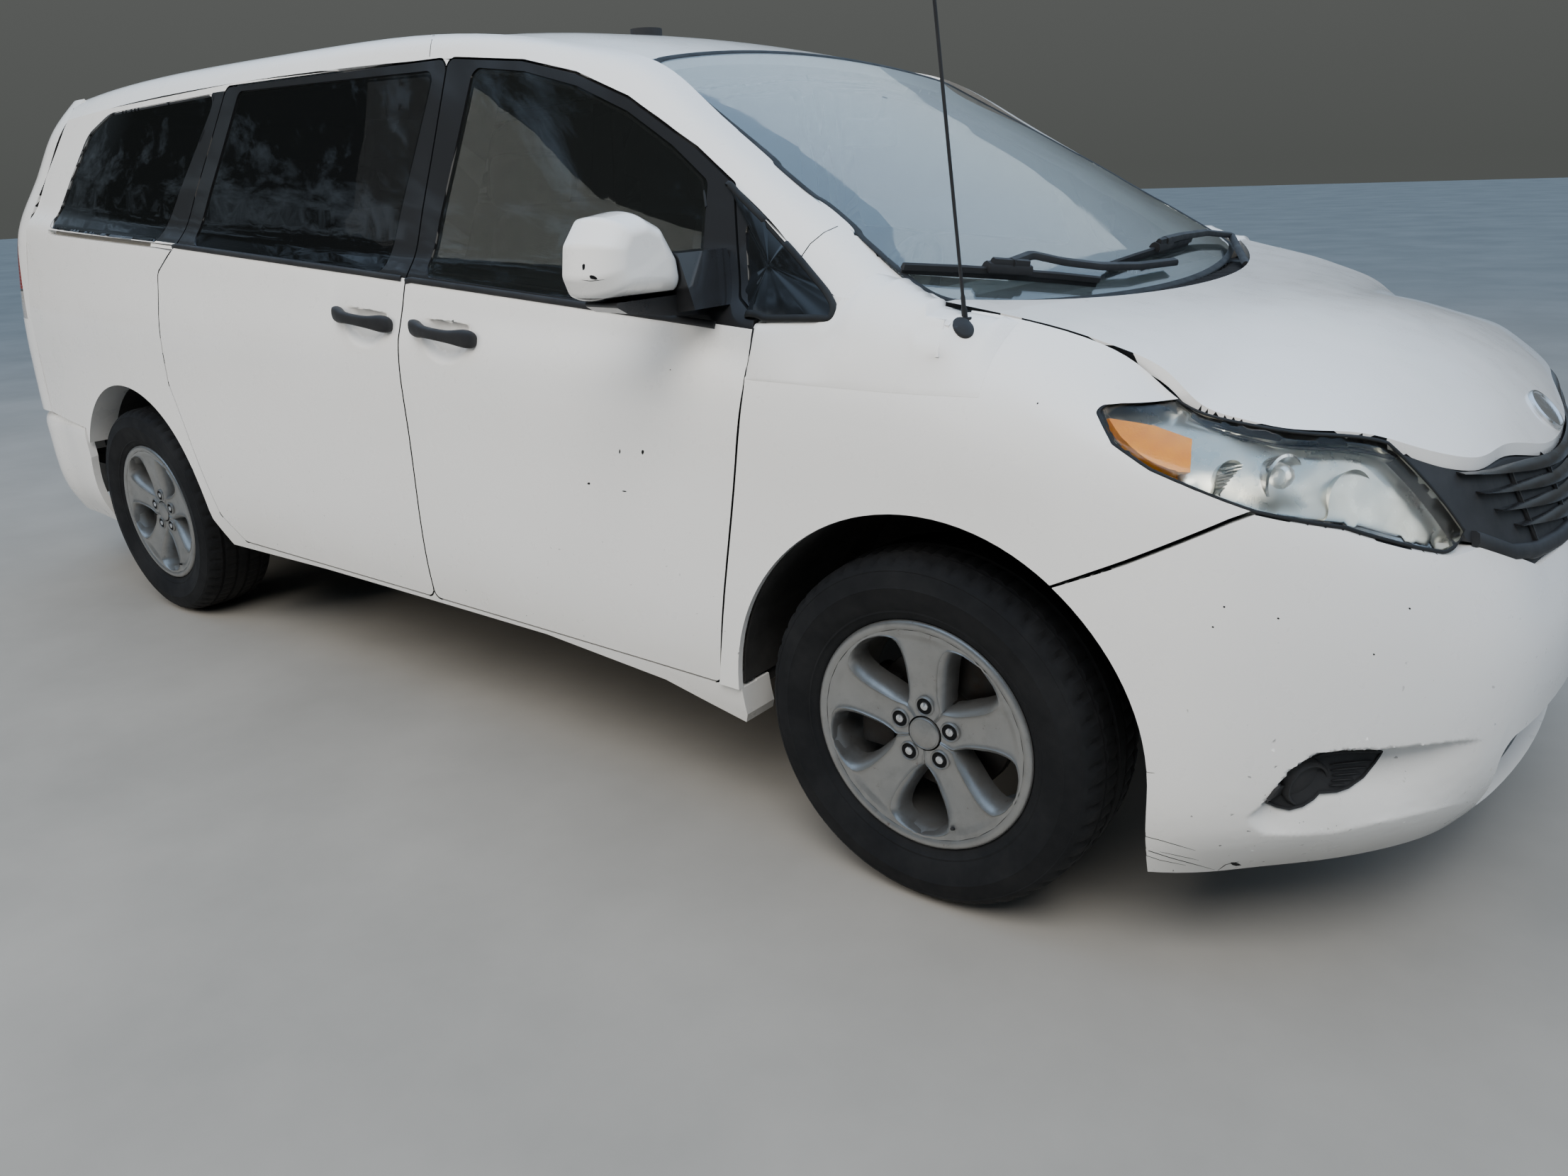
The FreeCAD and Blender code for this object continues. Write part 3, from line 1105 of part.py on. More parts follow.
# Fuel lid on the left rear quarter
LID_X, LID_Z, LID_SIDE = -1180.0, 980.0, 165.0
LID = (
    (LID_X - LID_SIDE / 2, LID_Z - LID_SIDE / 2), (LID_X + LID_SIDE / 2, LID_Z - LID_SIDE / 2),
    (LID_X + LID_SIDE / 2, LID_Z + LID_SIDE / 2), (LID_X - LID_SIDE / 2, LID_Z + LID_SIDE / 2),
)
fuel_lid = mirrored(side_slab(0, 6).common(side_prism(LID, OUT, IN, 20)))
lid_pocket = mirrored(side_slab(-5, 40).common(side_prism(LID, OUT, IN, 22, 2.5)))
TRACK = ((-915, 1211), (-915, 1231), (-1080, 1240), (-1850, 1281), (-1850, 1266), (-1080, 1225))
TRACK_DEPTH = 22.0
ARM_PLAY = 0.7
ARM = ((-925, 1217), (-925, 1226), (-1080, 1237), (-1120, 1239), (-1120, 1229), (-1080, 1227))
track_room = side_slab(-2.0, TRACK_DEPTH).common(side_prism(TRACK, OUT, IN, 3.0))
side_wall = side_wall.cut(track_room)
arm = side_slab(6.0, TRACK_DEPTH - ARM_PLAY).common(side_prism(ARM, OUT, IN, 2.0))
sliding_door = sliding_door.fuse(arm)
LID_POST = (
    (LID_X - 65, LID_Z - 10), (LID_X - 45, LID_Z - 10), (LID_X - 45, LID_Z + 10), (LID_X - 65, LID_Z + 10),
)
lid_post = mirrored(side_slab(6 + SEAT_GAP, 45).common(side_prism(LID_POST, OUT, IN)))

os.makedirs("parts", exist_ok=True)
# Side frame: wall and roof rail joined, with room for what is set into them
door_rooms = []
for outline, radius in ((FRONT_DOOR, 20.0), (SLIDING_DOOR, 30.0)):
    door_rooms.append(side_slab(-10, WALL + GAP).common(side_prism(outline, OUT, IN, radius + GAP, GAP)))
for window in (VENT_WINDOW, QUARTER_WINDOW, SLIDING_WINDOW):
    door_rooms.append(side_slab(-10, WALL).common(side_prism(window, OUT, IN, 26.0, REBATE)))
for room in door_rooms:
    rail = rail.cut(room)
corner_room = plate(corner_grid, SKIN + 1.0, 1.0, -FIT)
bumper_room = plate(ring_columns(rear_plan, REAR_LEVELS), BUMPER_T, 1.0, -FIT)
# Room in the front door pillar for the door's leading edge as it swings
HINGE_X = 1190.0
HINGE_Y = 980.0
HINGE_LOW = 826.0
HINGE_HIGH = 1112.0
HINGE_ROOM_R = 65.0
side_right = side_wall.fuse(rail)
for room in (fender_room, hood_room, corner_room, bumper_room):
    side_right = side_right.cut(room)
STRIKER_Z = 885.0
STRIKER_Y = -925.0
STRIKER_R = 6.0
notch = block(110, 194, STRIKER_Y, -860, STRIKER_Z - 18, STRIKER_Z + 18)
front_door = front_door.cut(notch)
striker_y = STRIKER_Y + STRIKER_R + SEAT_GAP
striker = rod(V(120, striker_y, STRIKER_Z), V(178, striker_y, STRIKER_Z), STRIKER_R)
hinge_room = rod(V(HINGE_X, -HINGE_Y, HINGE_LOW), V(HINGE_X, -HINGE_Y, HINGE_HIGH), HINGE_ROOM_R)
side_right = largest(side_right.cut(hinge_room))
# Room round the bonnet's rear corner as it swings up on its hinge
HOOD_AXIS = V(1590, 0, 1128)
HOOD_OPEN = 50.0
HOOD_STEPS = 12
SWING_PLAY = 1.0
hood_corner = hood_slab(SWING_PLAY, HOOD_T + SWING_PLAY, GAP - SWING_PLAY)
hood_corner = hood_corner.common(block(1500, 1800, -900, -500, 950, 1250))
hood_corner.translate(V(-SWING_PLAY, 0, 0))
for step in range(1, HOOD_STEPS + 1):
    swung = hood_corner.copy()
    swung.rotate(HOOD_AXIS, V(0, -1, 0), HOOD_OPEN * step / HOOD_STEPS)
    side_right = side_right.cut(swung)
    fender = fender.cut(swung)
side_right = largest(side_right)
fender = largest(fender)
side_left = mirrored(side_right).cut(lid_pocket).fuse(lid_post)
side_right = side_right.fuse(striker)
side_left = side_left.fuse(mirrored(striker))
save("underbody", underbody)
save("side_frame_right", side_right)
save("side_frame_left", side_left)
save("rear_corners", *both(rear_corner))
save("roof_panel", roof_panel)
save("front_fenders", *both(fender))
save("front_bumper", front_bumper)
save("rear_bumper", rear_bumper)
save("grille", grille)
save("headlamps", *both(headlamp))
save("tail_lamps", *both(tail_lamp))
save("windshield", windshield)
save("side_glass", *(both(vent_pane) + both(quarter_pane) + both(sliding_pane)))
save("sliding_doors", *both(sliding_door))
save("cowl_panel", cowl_panel)
save("wipers", *wipers)
save("engine_block", engine_block)
save("radiator", radiator)
save("front_subframe", front_subframe)
save("rear_axle", rear_axle)
save("exhaust", exhaust)
save("fuel_tank", fuel_tank)
save("dashboard", dashboard)
save("front_seats", *front_seats)
save("rear_seats", *rear_seats)
save("antenna", antenna, pod)
save("hood", hood)
save("tailgate", tailgate)
save("tailgate_glass", tailgate_glass)
save("fuel_lid", fuel_lid)
save("steering_wheel", steering_wheel)
for name, left in (("right", False), ("left", True)):
    turn = mirrored if left else (lambda shape: shape)
    save("front_door_" + name, turn(front_door))
    save("front_door_glass_" + name, turn(front_pane))
    save("door_mirror_" + name, turn(mirror))
    save("knuckle_" + name, turn(knuckle))
    for end, x in (("front", FRONT_AXLE_X), ("rear", REAR_AXLE_X)):
        save("rim_" + end + "_" + name, wheel_at(rim, x, left))
        save("tyre_" + end + "_" + name, wheel_at(tyre, x, left))
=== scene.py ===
"""Looks of the white minivan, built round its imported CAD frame."""
import math
import random

import bmesh
import bpy
from mathutils import Matrix, Vector
from mathutils.bvhtree import BVHTree
from mathutils.interpolate import poly_3d_calc


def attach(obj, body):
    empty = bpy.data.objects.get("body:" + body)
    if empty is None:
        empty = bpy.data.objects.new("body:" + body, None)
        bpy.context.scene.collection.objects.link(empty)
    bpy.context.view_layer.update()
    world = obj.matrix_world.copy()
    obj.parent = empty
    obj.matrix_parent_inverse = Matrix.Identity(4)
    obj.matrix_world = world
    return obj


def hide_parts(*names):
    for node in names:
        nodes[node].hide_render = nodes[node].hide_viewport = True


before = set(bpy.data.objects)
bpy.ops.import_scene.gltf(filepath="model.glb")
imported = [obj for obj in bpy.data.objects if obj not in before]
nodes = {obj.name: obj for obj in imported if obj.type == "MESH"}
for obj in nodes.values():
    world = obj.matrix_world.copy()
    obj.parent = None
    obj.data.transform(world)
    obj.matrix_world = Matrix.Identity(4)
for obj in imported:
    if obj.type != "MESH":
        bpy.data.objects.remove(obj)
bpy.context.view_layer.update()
V = Vector


# Materials
def material(name, color=(0.8, 0.8, 0.8), rough=0.5, metal=0.0, **sockets):
    """A new node material with its own Principled settings, and its node tree."""
    made = bpy.data.materials.new(name)
    made.use_nodes = True
    shader = made.node_tree.nodes["Principled BSDF"]
    shader.inputs["Base Color"].default_value = (*color, 1.0)
    shader.inputs["Roughness"].default_value = rough
    shader.inputs["Metallic"].default_value = metal
    for key, value in sockets.items():
        shader.inputs[key.replace("_", " ")].default_value = value
    return made


class Net:
    """Short calls that add and join nodes in one material."""

    def __init__(self, mat):
        self.tree = mat.node_tree
        self.shader = self.tree.nodes["Principled BSDF"]
        coordinate = self.tree.nodes.new("ShaderNodeTexCoord")
        self.place = coordinate.outputs["Object"]
        self.bumped = None

    def node(self, kind, **settings):
        made = self.tree.nodes.new(kind)
        for key, value in settings.items():
            setattr(made, key, value)
        return made

    def join(self, source, target):
        if isinstance(source, (int, float, tuple)):
            target.default_value = source
        else:
            self.tree.links.new(source, target)

    def noise(self, scale, detail=4.0, rough=0.55, stretch=None):
        made = self.node("ShaderNodeTexNoise")
        made.inputs["Scale"].default_value = scale
        made.inputs["Detail"].default_value = detail
        made.inputs["Roughness"].default_value = rough
        place = self.place
        if stretch:
            mapping = self.node("ShaderNodeMapping")
            mapping.inputs["Scale"].default_value = stretch
            self.join(place, mapping.inputs["Vector"])
            place = mapping.outputs["Vector"]
        self.join(place, made.inputs["Vector"])
        return made.outputs["Fac"]

    def ramp(self, value, *stops):
        made = self.node("ShaderNodeValToRGB")
        band = made.color_ramp
        while len(band.elements) < len(stops):
            band.elements.new(0.5)
        for element, (place, shade) in zip(band.elements, stops):
            element.position = place
            if isinstance(shade, (int, float)):
                shade = (shade, shade, shade)
            element.color = (*shade, 1.0)
        self.join(value, made.inputs["Fac"])
        return made.outputs["Color"]

    def math(self, operation, first, second=0.0, clamp=False):
        made = self.node("ShaderNodeMath", operation=operation, use_clamp=clamp)
        self.join(first, made.inputs[0])
        self.join(second, made.inputs[1])
        return made.outputs[0]

    def axis(self, letter):
        made = self.node("ShaderNodeSeparateXYZ")
        self.join(self.place, made.inputs[0])
        return made.outputs[letter]

    def mix(self, share, first, second):
        made = self.node("ShaderNodeMix", data_type="RGBA")
        self.join(share, made.inputs[0])
        for value, socket in ((first, made.inputs[6]), (second, made.inputs[7])):
            if isinstance(value, tuple) and len(value) == 3:
                value = (*value, 1.0)
            self.join(value, socket)
        return made.outputs[2]

    def bump(self, height, strength=0.3, distance=0.002):
        made = self.node("ShaderNodeBump")
        made.inputs["Strength"].default_value = strength
        made.inputs["Distance"].default_value = distance
        self.join(height, made.inputs["Height"])
        if self.bumped is not None:
            self.join(self.bumped, made.inputs["Normal"])
        self.bumped = made.outputs["Normal"]
        self.join(self.bumped, self.shader.inputs["Normal"])

    def color(self, value):
        self.join(value, self.shader.inputs["Base Color"])

    def rough(self, value):
        self.join(value, self.shader.inputs["Roughness"])


WHITE = (0.84, 0.84, 0.83)
CREAM = (0.66, 0.64, 0.58)
CHIP = (0.05, 0.05, 0.05)


def paint(name):
    """White lacquer: road film low down, small chips, patchy roughness."""
    made = material(name, WHITE, 0.28)
    net = Net(made)
    net.shader.inputs["Coat Weight"].default_value = 0.8
    net.shader.inputs["Coat Roughness"].default_value = 0.05
    height = net.axis("Z")
    low = net.math("MULTIPLY_ADD", height, -2.2)
    net.tree.nodes[-1].inputs[2].default_value = 1.15
    film = net.math("MULTIPLY", low, net.noise(5.0, 8.0, 0.65), clamp=True)
    dust = net.ramp(net.noise(2.2, 5.0), (0.35, 0.0), (0.8, 0.12))
    film = net.math("ADD", film, dust, clamp=True)
    color = net.mix(film, WHITE, CREAM)
    chips = net.ramp(net.noise(95.0, 1.0, 0.4), (0.785, 0.0), (0.80, 1.0))
    lower = net.ramp(height, (0.18, 1.0), (0.75, 0.0))
    chips = net.math("MULTIPLY", chips, lower)
    color = net.mix(chips, color, CHIP)
    net.color(color)
    net.rough(net.ramp(net.noise(14.0, 6.0), (0.3, 0.24), (0.75, 0.38)))
    net.bump(chips, 0.3, 0.0006)
    return made


def plastic(name, color, rough, grain=900.0, strength=0.25, dust=0.25):
    """Moulded plastic or rubber with fine grain and thin dust."""
    made = material(name, color, rough)
    net = Net(made)
    pale = tuple(min(1.0, c * 2.2 + 0.035) for c in color)
    share = net.ramp(net.noise(7.0, 7.0, 0.6), (0.42, 0.0), (0.85, dust))
    net.color(net.mix(share, color, pale))
    net.rough(net.ramp(net.noise(24.0, 5.0), (0.3, rough - 0.05), (0.7, min(1.0, rough + 0.12))))
    net.bump(net.noise(grain, 3.0), strength, 0.0003)
    return made


def metal(name, color, rough, dirt=(0.06, 0.05, 0.045), share=0.4, grain=350.0):
    """Metal with a patchy dirt film."""
    made = material(name, color, rough, 0.9)
    net = Net(made)
    film = net.ramp(net.noise(16.0, 9.0, 0.7), (0.5, 0.0), (0.8, share))
    net.color(net.mix(film, color, dirt))
    net.rough(net.ramp(net.noise(30.0, 5.0), (0.3, rough), (0.75, min(1.0, rough + 0.2))))
    net.bump(net.noise(grain, 3.0), 0.12, 0.0003)
    return made


def glass(name, color, transmission, rough=0.0):
    """Tinted glass with faint smears."""
    made = material(name, color, rough, 0.0)
    net = Net(made)
    net.shader.inputs["Transmission Weight"].default_value = transmission
    net.shader.inputs["IOR"].default_value = 1.5
    net.rough(net.ramp(net.noise(9.0, 6.0, 0.6), (0.45, rough), (0.9, rough + 0.05)))
    return made


white = paint("paint_white")
frame_black = plastic("satin_black", (0.014, 0.014, 0.015), 0.30, 1400.0, 0.05, 0.10)
trim_black = plastic("moulded_black", (0.018, 0.018, 0.019), 0.55)
liner_black = plastic("liner_black", (0.010, 0.010, 0.010), 0.85, 500.0, 0.5, 0.4)
seal = plastic("rubber_seal", (0.012, 0.012, 0.012), 0.62, 700.0, 0.1)
underside = plastic("underside", (0.028, 0.027, 0.026), 0.8, 300.0, 0.6, 0.6)
privacy = glass("privacy_glass", (0.03, 0.033, 0.036), 0.85)
front_tint = glass("door_glass", (0.14, 0.155, 0.155), 0.95)
screen = glass("screen_glass", (0.70, 0.80, 0.82), 0.97)
chrome = metal("chrome", (0.78, 0.79, 0.80), 0.06, share=0.1)
steel = metal("bare_steel", (0.28, 0.27, 0.26), 0.45, (0.10, 0.055, 0.03), 0.6)
cast = metal("cast_dark", (0.09, 0.085, 0.08), 0.6, (0.07, 0.04, 0.025), 0.6)
cabin = plastic("cabin_grey", (0.16, 0.155, 0.145), 0.65, 1000.0, 0.3, 0.15)

LOOKS = {
    "underbody": underside, "side_frame_right": white, "side_frame_left": white, "rear_corners": white,
    "roof_panel": white, "front_fenders": white, "front_bumper": white, "rear_bumper": white,
    "grille": trim_black, "headlamps": screen, "tail_lamps": privacy, "windshield": screen,
    "side_glass": privacy, "sliding_doors": white, "cowl_panel": trim_black, "wipers": trim_black,
    "engine_block": cast, "radiator": cast, "front_subframe": cast, "rear_axle": cast, "exhaust": steel,
    "fuel_tank": liner_black, "dashboard": cabin, "front_seats": cabin, "rear_seats": cabin,
    "antenna": trim_black, "hood": white, "tailgate": white, "tailgate_glass": privacy, "fuel_lid": white,
    "steering_wheel": cabin,
}
for side in ("right", "left"):
    LOOKS.update({
        "front_door_" + side: white, "front_door_glass_" + side: front_tint, "door_mirror_" + side: white,
        "knuckle_" + side: cast, "rim_front_" + side: chrome, "rim_rear_" + side: chrome,
        "tyre_front_" + side: liner_black, "tyre_rear_" + side: liner_black,
    })


def dress(name, *mats):
    """Gives a CAD node its materials."""
    mesh = nodes[name].data
    mesh.materials.clear()
    for mat in mats:
        mesh.materials.append(mat)


for name, mat in LOOKS.items():
    dress(name, mat)

# Floor, light and camera
FLOOR_Z = -0.0055
FLOOR_HALF = 60.0
floor_mesh = bpy.data.meshes.new("floor")
floor_corners = [(FLOOR_HALF * a, FLOOR_HALF * b, FLOOR_Z) for a, b in ((-1, -1), (1, -1), (1, 1), (-1, 1))]
floor_mesh.from_pydata(floor_corners, [], [(0, 1, 2, 3)])
floor = bpy.data.objects.new("floor", floor_mesh)
bpy.context.scene.collection.objects.link(floor)
floor_mat = material("floor_pale", (0.40, 0.39, 0.37), 0.95)
floor_net = Net(floor_mat)
floor_tones = ((0.35, (0.235, 0.225, 0.205)), (0.7, (0.30, 0.285, 0.26)))
floor_net.color(floor_net.ramp(floor_net.noise(0.9, 8.0, 0.6), *floor_tones))
floor_mesh.materials.append(floor_mat)

world = bpy.data.worlds.new("sky")
bpy.context.scene.world = world
world.use_nodes = True
sky = world.node_tree
back = sky.nodes["Background"]
where = sky.nodes.new("ShaderNodeTexCoord")
split = sky.nodes.new("ShaderNodeSeparateXYZ")
band = sky.nodes.new("ShaderNodeValToRGB")
sky.links.new(where.outputs["Generated"], split.inputs[0])
sky.links.new(split.outputs["Z"], band.inputs["Fac"])
SKY_BANDS = (
    (0.0, (0.09, 0.095, 0.09)), (0.14, (0.11, 0.115, 0.11)), (0.32, (0.44, 0.56, 0.68)),
    (0.65, (0.72, 1.04, 1.48)),
)
SKY_STRENGTH = 0.95
for spot, shade in SKY_BANDS:
    element = band.color_ramp.elements.new(spot)
    element.color = (*shade, 1)
band.color_ramp.elements.remove(band.color_ramp.elements[0])
band.color_ramp.elements.remove(band.color_ramp.elements[-1])
back.inputs["Strength"].default_value = SKY_STRENGTH


# Dark trees beside the drive, with gaps of sky, for the side glass to mirror
def sky_math(operation, first, second):
    """A clamped maths node of the sky."""
    made = sky.nodes.new("ShaderNodeMath")
    made.operation = operation
    made.use_clamp = True
    for value, socket in ((first, made.inputs[0]), (second, made.inputs[1])):
        if isinstance(value, (int, float)):
            socket.default_value = value
        else:
            sky.links.new(value, socket)
    return made.outputs[0]


TREES_BEGIN_Y = -0.05
TREES_TOP_Z = 0.88
TREES_EDGE = 4.0
TREES_COLOR = (0.010, 0.013, 0.009, 1)
aside = sky_math("MULTIPLY", sky_math("SUBTRACT", TREES_BEGIN_Y, split.outputs["Y"]), TREES_EDGE)
below = sky_math("MULTIPLY", sky_math("SUBTRACT", TREES_TOP_Z, split.outputs["Z"]), TREES_EDGE)
leaves = sky.nodes.new("ShaderNodeTexNoise")
leaves.inputs["Scale"].default_value = 9.0
leaves.inputs["Detail"].default_value = 9.0
leaves.inputs["Roughness"].default_value = 0.72
sky.links.new(where.outputs["Generated"], leaves.inputs["Vector"])
gaps = sky.nodes.new("ShaderNodeValToRGB")
gaps.color_ramp.elements[0].position = 0.50
gaps.color_ramp.elements[0].color = (1, 1, 1, 1)
gaps.color_ramp.elements[1].position = 0.62
gaps.color_ramp.elements[1].color = (0.25, 0.25, 0.25, 1)
sky.links.new(leaves.outputs["Fac"], gaps.inputs["Fac"])
wood = sky.nodes.new("ShaderNodeMix")
wood.data_type = "RGBA"
sky.links.new(sky_math("MULTIPLY", sky_math("MULTIPLY", aside, below), gaps.outputs["Color"]), wood.inputs[0])
sky.links.new(band.outputs["Color"], wood.inputs[6])
wood.inputs[7].default_value = TREES_COLOR
sky.links.new(wood.outputs[2], back.inputs["Color"])


# Lights: name, place, aim, size, power, color
LIGHTS = (
    ("key", (3.5, -5.0, 6.5), (0.3, 0, 0.6), (5.0, 4.0), 620, (1.0, 0.95, 0.88)),
    ("fill", (-5.0, -6.5, 4.0), (-0.5, 0, 0.7), (5.0, 3.5), 420, (1.0, 0.94, 0.86)),
    ("rim", (-2.0, 6.5, 5.5), (0, 0, 0.8), (6.0, 3.0), 110, (1, 1, 1)),
    ("front", (7.5, 1.5, 3.0), (1.5, 0, 0.7), (3.5, 3.0), 50, (1, 1, 1)),
)


def area_light(name, place, aim, size, power, color):
    """A soft light that reflections and glass don't show."""
    lamp = bpy.data.lights.new(name, "AREA")
    lamp.shape = "RECTANGLE"
    lamp.size, lamp.size_y = size
    lamp.energy = power
    lamp.color = color
    made = bpy.data.objects.new(name, lamp)
    made.location = place
    made.rotation_euler = (V(aim) - V(place)).to_track_quat("-Z", "Y").to_euler()
    made.visible_glossy = False
    bpy.context.scene.collection.objects.link(made)


for light in LIGHTS:
    area_light(*light)

CAM_PLACE = V((2.57645, -2.61381, 1.35460))
SENSOR_WIDTH = 36.0
LENS = 26.10
CAM_TURN, CAM_DOWN, CAM_ROLL = (math.radians(a) for a in (38.24, 19.89, -2.34))
backward = V((math.sin(CAM_TURN) * math.cos(CAM_DOWN), -math.cos(CAM_TURN) * math.cos(CAM_DOWN),
              math.sin(CAM_DOWN)))
right = (-backward).cross(V((0, 0, 1))).normalized()
up = right.cross(-backward)
right, up = (
    math.cos(CAM_ROLL) * right + math.sin(CAM_ROLL) * up,
    -math.sin(CAM_ROLL) * right + math.cos(CAM_ROLL) * up,
)
camera = bpy.data.objects.new("camera", bpy.data.cameras.new("camera"))
bpy.context.scene.collection.objects.link(camera)
turn = Matrix((right, up, backward)).transposed().to_4x4()
camera.matrix_world = Matrix.Translation(CAM_PLACE) @ turn
camera.data.sensor_width = SENSOR_WIDTH
camera.data.lens = LENS
camera.data.clip_start = 0.05
camera.data.clip_end = 300.0
bpy.context.scene.camera = camera


# Reaching the CAD surfaces
PHOTO_CENTRE = (1106.0, 829.5)
PHOTO_FOCAL = 1603.79
SIDES = (("right", -1), ("left", 1))
trees = {}


def tree_of(*names):
    """Ray and nearest-point search over some CAD nodes or carved pieces."""
    if names not in trees:
        spots, faces = [], []
        for name in names:
            mesh = carved[name].data if name in carved else nodes[name].data
            first = len(spots)
            spots += [v.co.copy() for v in mesh.vertices]
            faces += [[first + i for i in p.vertices] for p in mesh.polygons]
        trees[names] = BVHTree.FromPolygons(spots, faces)
    return trees[names]


carved = {}


def sight(u, v):
    """Direction from the camera through a point of the 2212 by 1659 picture."""
    across = (u - PHOTO_CENTRE[0]) / PHOTO_FOCAL
    rise = (PHOTO_CENTRE[1] - v) / PHOTO_FOCAL
    return (right * across + up * rise - backward).normalized()


def crop(left, top, scale):
    """Turns places on an enlarged part of the picture into whole-picture ones."""
    return lambda u, v: V((left + u / scale, top + v / scale))


crop6 = crop(1500, 520, 2.202)
crop7 = crop(1500, 900, 2.202)
crop14 = crop(1200, 330, 3.136)
crop24 = crop(820, 190, 2.306)
crop26 = crop(1200, 330, 2.613)


def pick(u, v, *names):
    """Point and outward normal where a line of sight meets those nodes."""
    ray = sight(u, v)
    place, normal, _, _ = tree_of(*names).ray_cast(CAM_PLACE, ray)
    if place is None:
        place, normal, _, _ = tree_of(*names).find_nearest(CAM_PLACE + ray * 3.0)
        for _ in range(30):
            place, normal, _, _ = tree_of(*names).find_nearest(CAM_PLACE + ray * (place - CAM_PLACE).dot(ray))
    if normal.dot(ray) > 0:
        normal = -normal
    return place, normal


def drop(x, z, side, *names):
    """Point and outward normal on a body side at x and z, in metres."""
    place, normal, _, _ = tree_of(*names).ray_cast(V((x, side * 2.0, z)), V((0, -side, 0)))
    if place is None:
        place, normal, _, _ = tree_of(*names).find_nearest(V((x, side * 0.95, z)))
        normal = V((0, side, 0))
    if normal.y * side < 0:
        normal = -normal
    return place, normal


def down(x, y, *names):
    """Point and upward normal on top of some nodes at x and y, in metres."""
    place, normal, _, _ = tree_of(*names).ray_cast(V((x, y, 3.0)), V((0, 0, -1)))
    if place is None:
        place, normal, _, _ = tree_of(*names).find_nearest(V((x, y, 1.2)))
    if normal.z < 0:
        normal = -normal
    return place, normal


# Making pieces
WELD = 0.00001


def piece(name, bm, body, mats, crease=32.0, slot=None, levels=0):
    """A mesh object from bm that rides on a body."""
    mesh = bpy.data.meshes.new(name)
    bm.normal_update()
    bm.to_mesh(mesh)
    bm.free()
    made = bpy.data.objects.new(name, mesh)
    bpy.context.scene.collection.objects.link(made)
    for mat in mats if isinstance(mats, (list, tuple)) else (mats,):
        mesh.materials.append(mat)
    mesh.shade_smooth()
    if crease < 180:
        mesh.set_sharp_from_angle(angle=math.radians(crease))
    if levels:
        smooth = made.modifiers.new("smooth", "SUBSURF")
        smooth.levels = smooth.render_levels = levels
    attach(made, body)
    return made


def flipped(bm):
    """A mirror image of bm across the middle of the vehicle."""
    twin = bm.copy()
    for vert in twin.verts:
        vert.co.y *= -1
    bmesh.ops.reverse_faces(twin, faces=twin.faces[:])
    return twin


def pair(name, bm, body, mats, **more):
    """bm on the right and its mirror image on the left; body may hold {} for the side."""
    twin = flipped(bm)
    made = [piece(name + "_right", bm, body.format("right"), mats, **more)]
    made.append(piece(name + "_left", twin, body.format("left"), mats, **more))
    return made


BEAD = ((-0.5, 0.0), (-0.44, 0.62), (-0.25, 1.0), (0.25, 1.0), (0.44, 0.62), (0.5, 0.0))


def bead(bm, spots, normals, width, height, closed=False, sink=0.0006, section=BEAD, taper=False):
    """A strip of domed section along spots, standing on the surface."""
    count = len(spots)
    rings = []
    for i, spot in enumerate(spots):
        before = spots[i - 1] if i or closed else spot
        after = spots[(i + 1) % count] if i < count - 1 or closed else spot
        along = (after - before).normalized()
        side = normals[i].cross(along).normalized()
        share = 1.0
        if taper:
            share = max(0.12, min(1.0, 4.0 * i / (count - 1), 4.0 * (count - 1 - i) / (count - 1)))
        rings.append([
            bm.verts.new(spot + side * (a * width * share) + normals[i] * (b * (height + sink) - sink))
            for a, b in section])
    joined(bm, rings + rings[:1] if closed else rings)
    if not closed:
        bm.faces.new(rings[0][::-1])
        bm.faces.new(rings[-1])
    return rings


def tube(bm, spots, radius, sides=10, closed=False, cap=True):
    """A round rod along spots; radius is a number or one for each spot."""
    rings = []
    count = len(spots)
    guide = V((0.13, 0.27, 0.95))
    for i, spot in enumerate(spots):
        before = spots[i - 1] if i or closed else spot
        after = spots[(i + 1) % count] if i < count - 1 or closed else spot
        along = (after - before).normalized()
        one = along.cross(guide).normalized()
        two = along.cross(one)
        size = radius[i] if isinstance(radius, (list, tuple)) else radius
        rings.append([
            bm.verts.new(spot + (one * math.cos(t) + two * math.sin(t)) * size)
            for t in around(sides)])
    for one, two in list(zip(rings, rings[1:])) + ([(rings[-1], rings[0])] if closed else []):
        for i in range(sides):
            j = (i + 1) % sides
            bm.faces.new((one[i], two[i], two[j], one[j]))
    if cap and not closed:
        bm.faces.new(rings[0])
        bm.faces.new(rings[-1][::-1])


def lathe(bm, profile, steps, centre=(0, 0, 0), side=-1, turn=0.0, share=1.0):
    """A surface of revolution about Y; profile has radius and outward distance."""
    rings = []
    total = steps if share >= 1.0 else steps + 1
    for k in range(total):
        t = turn + 2 * math.pi * share * k / steps
        spots = [V(centre) + V((r * math.cos(t), side * out, r * math.sin(t))) for r, out in profile]
        rings.append([bm.verts.new(spot) for spot in spots])
    for k in range(steps):
        one, two = rings[k], rings[(k + 1) % total]
        for i in range(len(profile) - 1):
            corners = (one[i], one[i + 1], two[i + 1], two[i])
            bm.faces.new(corners if side < 0 else corners[::-1])
    return rings


def block(bm, low, high, soft=0.0):
    """A box between two corners with softened edges."""
    made = bmesh.ops.create_cube(bm, size=1.0)["verts"]
    low, high = V(low), V(high)
    for vert in made:
        vert.co = (low + high) / 2 + V((vert.co.x * (high - low).x, vert.co.y * (high - low).y,
                                        vert.co.z * (high - low).z))
    if soft:
        edges = list({e for v in made for e in v.link_edges})
        bmesh.ops.bevel(bm, geom=edges, offset=soft, segments=2, profile=0.5, affect="EDGES")


